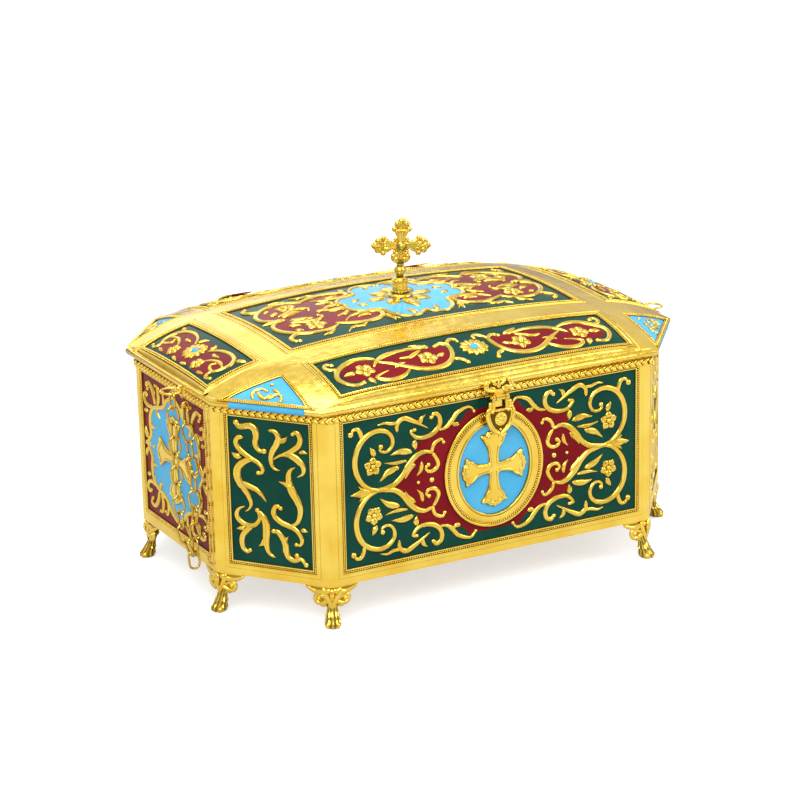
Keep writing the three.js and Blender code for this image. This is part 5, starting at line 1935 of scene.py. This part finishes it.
# ---- Fittings ----
@dataclass
class Hasp:
    """The ornament of the hasp's plate and leaf, laid on the part's own plates."""

    finishes: Finishes
    x: float = 1.0

    def build(self) -> None:
        """Makes the ornament of the plate and of the leaf."""
        top = Spot(Plane((self.x, HASP_PLATE_Y), (1.0, 0.0)))
        shell = Shell()
        for a in (-1.0, 1.0):
            spot = Spot(top.surface, (a, 0, 0, 1))
            for item in (Stroke([(1.6, 123.6), (4.4, 125), (6.6, 124.4), (7.4, 126.4), (6.4, 128.6)], 1.6,
                                (0.7, 0.6), S, 1.0), leaf((1.2, 126.2), (4.8, 128.8), 1.9),
                         leaf((2.2, 122.6), (2.2, 120.8), 1.1)):
                item.lay(shell, spot, -0.15)
        leaf((0, 124.4), (0, 129.2), 2.6).lay(shell, top, -0.15)
        for a in (-1.0, 1.0):
            scroll = [(2.0, 123.2), (5.6, 123.4), (8.4, 124.8), (8.9, 127.2), (7.4, 129.0), (5.4, 128.0)]
            tube(shell, [(self.x + a * u, -113.3, z) for u, z in scroll], [0.7, 0.95, 1.05, 1.0, 0.9, 0.6],
                 8, 1.0, 0.6, Y_AXIS)
        self.ground(shell, top, [(-7.0, 123.8), (7.0, 123.8), (7.7, 126.5), (6.0, 129.4), (3, 127.9),
                                 (0, 129.0), (-3, 127.9), (-6.0, 129.4), (-7.7, 126.5)])
        shell.piece("hasp_plate_ornament", self.finishes.brass, Slot.BRASS, Body.LID)
        self.leaf_ornament()

    def ground(self, shell: Shell, spot: Spot, outline: Points) -> None:
        """A dark ground under raised ornament: painted shade with patina."""
        flat, triangles = fill(np.array(outline, float), [])
        shell.add(spot.place(flat, 0.04), triangles, 0.95, spot.flip)

    def leaf_ornament(self) -> None:
        """The leaf's flower, window frame and border."""
        leaf_spot = Spot(Plane((self.x, HASP_LEAF_Y), (1.0, 0.0)))
        shell = Shell()
        for a in (-1.0, 1.0):
            spot = Spot(leaf_spot.surface, (a, 0, 0, 1))
            for item in (Stroke([(4.45, 118.4), (4.45, 115), (4.45, 112.6)], 1.7, (1, 1), V, height=0.6),
                         Stroke([(0, 98.2), (3.4, 100.6), (6.2, 104.8), (7.3, 110.6), (5.8, 111.6)], 1.4,
                                (0.6, 0.7), S, height=0.55), leaf((4.6, 111.2), (6.9, 112.2), 1.5)):
                item.lay(shell, spot, -0.12)
        for a in (-1.0, 1.0):
            rim = [(0, 97.6), (3.6, 99.6), (6.8, 103.4), (8.3, 108.2), (8.6, 111.4), (7.2, 113.2),
                   (5.6, 112.2)]
            tube(shell, [(self.x + a * u, -114.7, z) for u, z in rim],
                 [0.7, 0.95, 1.05, 1.1, 1.15, 1.0, 0.7], 8, 1.0, 0.6, Y_AXIS)
            ball(shell, (self.x + a * 5.2, -115.0, 111.4), (1.1, 0.8, 1.1))
            tube(shell, [(self.x + a * 6.5, -114.5, z) for z in (117.4, 115.2, 113.0)], [1.0, 1.15, 1.0], 8,
                 1.0, 0.6, Y_AXIS)
        self.ground(shell, leaf_spot, [(-7.4, 111.2), (-6.5, 104.9), (-3.4, 100.1), (0, 98.2), (3.4, 100.1),
                                       (6.5, 104.9), (7.4, 111.2)])
        Stroke([(-4.6, 112), (0, 111.7), (4.6, 112)], 1.2, (0.9, 0.9), S,
               height=0.55).lay(shell, leaf_spot, -0.1)
        for k in range(6):
            angle = math.radians(90 + 60 * k)
            c, s = math.cos(angle), math.sin(angle)
            Stroke([(1.0 * c, 106.4 + 1.0 * s), (2.4 * c, 106.4 + 2.4 * s), (3.8 * c, 106.4 + 3.8 * s)], 2.9,
                   (0.5, 0.8), V, height=0.85).lay(shell, leaf_spot, 0.0)
        Dot((0, 106.4), 1.2, height=0.95).lay(shell, leaf_spot, 0.05)
        Dot((0, 100.4), 0.9, height=0.7).lay(shell, leaf_spot, -0.1)
        shell.piece("hasp_leaf_ornament", self.finishes.brass, Slot.BRASS, Body.HASP)


@dataclass
class Fittings:
    """The part's own nodes that stay in sight, and the rivets on the hinges."""

    finishes: Finishes
    shown: tuple[str, ...] = ("hasp_plate", "hasp_leaf", "hasp_pin", "hasp_lug")

    def build(self) -> None:
        """Gives the nodes their finish and adds the rivets."""
        names = list(self.shown) + [f"hinge_{part}_{side}" for part in ("lid_leaf", "body_leaf",
                "pin") for side in ("left", "right")]
        for name in names:
            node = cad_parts[name]
            node.data.materials.clear()
            node.data.materials.append(self.finishes.brass)
            LOG.info("node %s keeps its shape", name)
        rivets = Shell()
        for side in ("left", "right"):
            low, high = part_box("hinge_body_leaf_" + side)
            middle = (low.x + high.x) / 2 / MM
            spot = Spot(Plane((0.0, 111.6), (-1.0, 0.0)))
            for u in (-5.6, 5.6):
                for z in (111.0, 117.0):
                    Dot((-middle + u, z), 1.3, height=0.7).lay(rivets, spot, -0.05)
        rivets.piece("hinge_rivets", self.finishes.brass, Slot.BRASS, Body.CASKET)


@dataclass
class StayChain:
    """The chain, the ring and the two eyes at each end of the box."""

    finishes: Finishes
    wire: float = 0.7

    def link_places(self) -> list[tuple[Vector, Matrix]]:
        """Each link's middle and turn, from the part's own links.

        Returns:
            Each link's middle and turn.
        """
        places = []
        for name in sorted(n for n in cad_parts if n.startswith("chain_link")):
            co = np.array([v.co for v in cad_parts[name].data.vertices])
            low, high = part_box(name)
            middle = (low + high) / 2
            axes = np.linalg.eigh(np.cov((co - co.mean(0)).T))[1]
            long, wide = axes[:, 2], axes[:, 1]
            places.append((middle, Matrix(np.stack([wide, long, np.cross(wide, long)], -1).tolist())))
        return places

    def links(self, name: str, body: Body, *replaced: str) -> None:
        """A whole chain, by Geometry Nodes.

        Args:
            name: the piece's name.
            body: the body it moves with.
            replaced: the part's nodes it stands for.
        """
        group = NodeGroup("chain_links")
        group.input("Link width", "NodeSocketFloat", 6.3 * MM)
        group.input("Link length", "NodeSocketFloat", 10.6 * MM)
        group.input("Wire radius", "NodeSocketFloat", self.wire * MM)
        # Every link is darkened all over: patina and painted shade.
        group.input("Patina_and_shade", "NodeSocketFloat", 0.38)
        group.input("Finish", "NodeSocketMaterial", self.finishes.brass)
        oblong = group.add("GeometryNodeCurvePrimitiveQuadrilateral")
        group.feed("Link width", oblong.inputs["Width"])
        group.feed("Link length", oblong.inputs["Height"])
        rounded = group.add("GeometryNodeFilletCurve", mode="POLY")
        rounded.inputs["Count"].default_value = 4
        rounded.inputs["Radius"].default_value = 3.0 * MM
        section = group.add("GeometryNodeCurvePrimitiveCircle")
        section.inputs["Resolution"].default_value = 8
        group.feed("Wire radius", section.inputs["Radius"])
        swept = group.add("GeometryNodeCurveToMesh")
        group.flow(oblong, rounded, swept)
        group.link(section.outputs["Curve"], swept.inputs["Profile Curve"])
        turn = group.add("GeometryNodeInputNamedAttribute", data_type="FLOAT_VECTOR")
        turn.inputs["Name"].default_value = "turn"
        rotation = group.add("FunctionNodeEulerToRotation")
        group.link(turn.outputs["Attribute"], rotation.inputs["Euler"])
        placed = group.add("GeometryNodeInstanceOnPoints")
        group.flow(group.start, placed)
        group.link(swept.outputs["Mesh"], placed.inputs["Instance"])
        group.link(rotation.outputs["Rotation"], placed.inputs["Rotation"])
        darkened_links = group.add("GeometryNodeStoreNamedAttribute", data_type="FLOAT", domain="POINT")
        darkened_links.inputs["Name"].default_value = "patina_and_shade"
        group.feed("Patina_and_shade", darkened_links.inputs["Value"])
        group.close(placed, darkened_links)
        mesh = bpy.data.meshes.new(name + "_points")
        points, turns = [], []
        for middle, turned in self.link_places():
            points.append(tuple(middle))
            turns.append(tuple(turned.to_euler()))
        mesh.from_pydata(points, [], [])
        mesh.attributes.new("turn", "FLOAT_VECTOR", "POINT").data.foreach_set("vector",
                np.array(turns, np.float32).ravel())
        source = bpy.data.objects.new(name + "_points", mesh)
        bpy.context.scene.collection.objects.link(source)
        finish_piece(group.evaluated(source, name), name, self.finishes.brass, Slot.BRASS, body, *replaced)

    def build(self) -> None:
        """Makes the chain, both rings and both pairs of eyes."""
        replaced = sorted(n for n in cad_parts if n.startswith("chain_link"))
        self.links("chain_left", Body.CASKET, *replaced)
        for side, sign in (("left", -1), ("right", 1)):
            shell = Shell()
            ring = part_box("stay_ring_" + side)
            self.hoop(shell, (ring[0] + ring[1]) / 2 / MM, 5.9, 0.7, False)
            for part in ("upper", "lower"):
                node = f"stay_eye_{part}_{side}"
                low, high = (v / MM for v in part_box(node))
                out = high.x if sign > 0 else low.x
                near = low.x if sign > 0 else high.x
                mid = out - sign * 2.6
                z = high.z - 2.6
                self.hoop(shell, Vector((mid, (low.y + high.y) / 2, z)), 2.0, 0.6, True)
                tube(shell, [(near, (low.y + high.y) / 2, low.z + 0.7), (mid - sign, (low.y + high.y) / 2,
                        low.z + 0.8), (mid, (low.y + high.y) / 2, z - 1.9)], [0.6, 0.6, 0.6], 8, 1.0, 0.5,
                     (0, 1, 0))
            nodes = ["stay_ring_" + side, "stay_eye_upper_" + side, "stay_eye_lower_" + side]
            shell.piece("stay_loops_" + side, self.finishes.brass, Slot.BRASS, Body.CASKET, *nodes)

    def hoop(self, shell: Shell, middle: Vector, radius: float, wire: float, upright: bool) -> None:
        """A ring of wire, lying flat or standing along X and Z.

        Args:
            shell: the shell to add to.
            middle: its middle.
            radius: its radius.
            wire: the wire's radius.
            upright: whether it stands along X and Z.
        """
        a, b = turns_of(32)[:, None], turns_of(10)[None, :]
        r = radius + wire * np.cos(b)
        x, y, z = r * np.cos(a), r * np.sin(a), wire * np.sin(b) + 0 * a
        flat = np.stack([x, -z, y] if upright else [x, y, z], -1)
        shell.add(flat + np.array(middle), grid_faces(32, 10, True, True))


# ---- The studio ----
@dataclass
class Studio:
    """The pale floor, the soft lights and the camera."""

    azimuth: float = -28.12
    elevation: float = 18.13
    roll: float = -1.28
    distance: float = 1688.62
    target: Point = (-1.68, 2.88, 74.12)

    def build(self) -> None:
        """Sets up the floor, the world, the lights and the camera."""
        self.floor()
        self.world()
        self.area("key", (-0.9, -1.2, 1.5), 1.2, 24)
        self.area("fill", (1.5, -1.0, 1.0), 1.2, 12)
        self.area("top", (0.1, 0.3, 1.9), 1.1, 15)
        self.area("back", (0.5, 2.2, 0.95), 1.5, 5)
        self.camera()
        scene = bpy.context.scene
        scene.view_settings.view_transform = "Standard"
        scene.view_settings.look = "None"
        scene.view_settings.exposure = 0.0

    def floor(self) -> None:
        """A wide pale floor."""
        mesh = bpy.data.meshes.new("floor")
        mesh.from_pydata([(-8, -8, 0), (8, -8, 0), (8, 8, 0), (-8, 8, 0)], [], [(0, 1, 2, 3)])
        floor = bpy.data.objects.new("floor", mesh)
        bpy.context.scene.collection.objects.link(floor)
        nodes = Nodes(bpy.data.materials.new("paper"))
        tone = nodes.blend(nodes.noise(2.0), (0.56, 0.56, 0.56), (0.60, 0.60, 0.60))
        nodes.link(tone, nodes.shader.inputs["Base Color"])
        nodes.shader.inputs["Roughness"].default_value = 0.9
        nodes.shader.inputs["Specular IOR Level"].default_value = 0.1
        nodes.shader.inputs["Emission Color"].default_value = (1, 1, 1, 1)
        nodes.link(nodes.spread(nodes.add("ShaderNodeLightPath").outputs["Is Camera Ray"], 0, 1, 0.0, 0.62),
                   nodes.shader.inputs["Emission Strength"])
        mesh.materials.append(nodes.material)

    def world(self) -> None:
        """A near-white surround."""
        world = bpy.data.worlds.new("surround")
        bpy.context.scene.world = world
        world.use_nodes = True
        tree = world.node_tree
        soft = tree.nodes["Background"]
        soft.inputs["Strength"].default_value = 1.0
        where, split = tree.nodes.new("ShaderNodeTexCoord"), tree.nodes.new("ShaderNodeSeparateXYZ")
        rise = tree.nodes.new("ShaderNodeValToRGB")
        tree.links.new(where.outputs["Generated"], split.inputs[0])
        tree.links.new(split.outputs["Z"], rise.inputs["Fac"])
        tree.links.new(rise.outputs["Color"], soft.inputs["Color"])
        stops = ((0.0, 0.26), (0.1, 0.52), (0.26, 0.74), (0.75, 0.88))
        while len(rise.color_ramp.elements) < len(stops):
            rise.color_ramp.elements.new(0.5)
        for element, (position, value) in zip(rise.color_ramp.elements, stops):
            element.position = position
            element.color = (value, value, value, 1)
        seen = tree.nodes.new("ShaderNodeBackground")
        seen.inputs["Color"].default_value = (1.0, 1.0, 1.0, 1.0)
        seen.inputs["Strength"].default_value = 1.0
        rays, mix = tree.nodes.new("ShaderNodeLightPath"), tree.nodes.new("ShaderNodeMixShader")
        tree.links.new(rays.outputs["Is Camera Ray"], mix.inputs[0])
        tree.links.new(soft.outputs[0], mix.inputs[1])
        tree.links.new(seen.outputs[0], mix.inputs[2])
        tree.links.new(mix.outputs[0], tree.nodes["World Output"].inputs["Surface"])

    def area(self, name: str, where: Point, size: float, power: float) -> None:
        """A soft square light that looks at the object.

        Args:
            name: the light's name.
            where: its place in metres.
            size: its width in metres.
            power: its watts.
        """
        light = bpy.data.lights.new(name, "AREA")
        light.size = size
        light.energy = power
        made = bpy.data.objects.new(name, light)
        made.location = where
        made.rotation_euler = (Vector((0, 0, 0.08)) - Vector(where)).to_track_quat("-Z", "Y").to_euler()
        bpy.context.scene.collection.objects.link(made)

    def camera(self) -> None:
        """The camera, a little above the box and to its left."""
        a, e, r = (math.radians(v) for v in (self.azimuth, self.elevation, self.roll))
        back = Vector((math.sin(a) * math.cos(e), -math.cos(a) * math.cos(e), math.sin(e)))
        right = (-back).cross(Vector((0, 0, 1))).normalized()
        up = right.cross(-back)
        turned = right * math.cos(r) + up * math.sin(r), -right * math.sin(r) + up * math.cos(r), back
        data = bpy.data.cameras.new("camera")
        data.lens, data.sensor_width = 126.04, 36.0
        data.shift_x, data.shift_y = 0.0024, 0.0241
        data.clip_start, data.clip_end = 0.05, 50.0
        camera = bpy.data.objects.new("camera", data)
        matrix = Matrix([[turned[c][row] for c in range(3)] for row in range(3)]).to_4x4()
        matrix.translation = (Vector(self.target) + back * self.distance) * MM
        camera.matrix_world = matrix
        bpy.context.scene.collection.objects.link(camera)
        bpy.context.scene.camera = camera


def main() -> None:
    """Builds every sub-assembly in order, then the studio."""
    logging.basicConfig(level=logging.INFO, format="%(message)s", stream=sys.stdout)
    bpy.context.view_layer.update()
    finishes = Finishes()
    CasketBody(finishes).build()
    Braid(finishes.brass).build()
    Lid(finishes).build()
    Feet(finishes).build()
    Finial(finishes).build()
    Fittings(finishes).build()
    Hasp(finishes).build()
    StayChain(finishes).build()
    Studio().build()


if __name__ == "__main__":
    main()
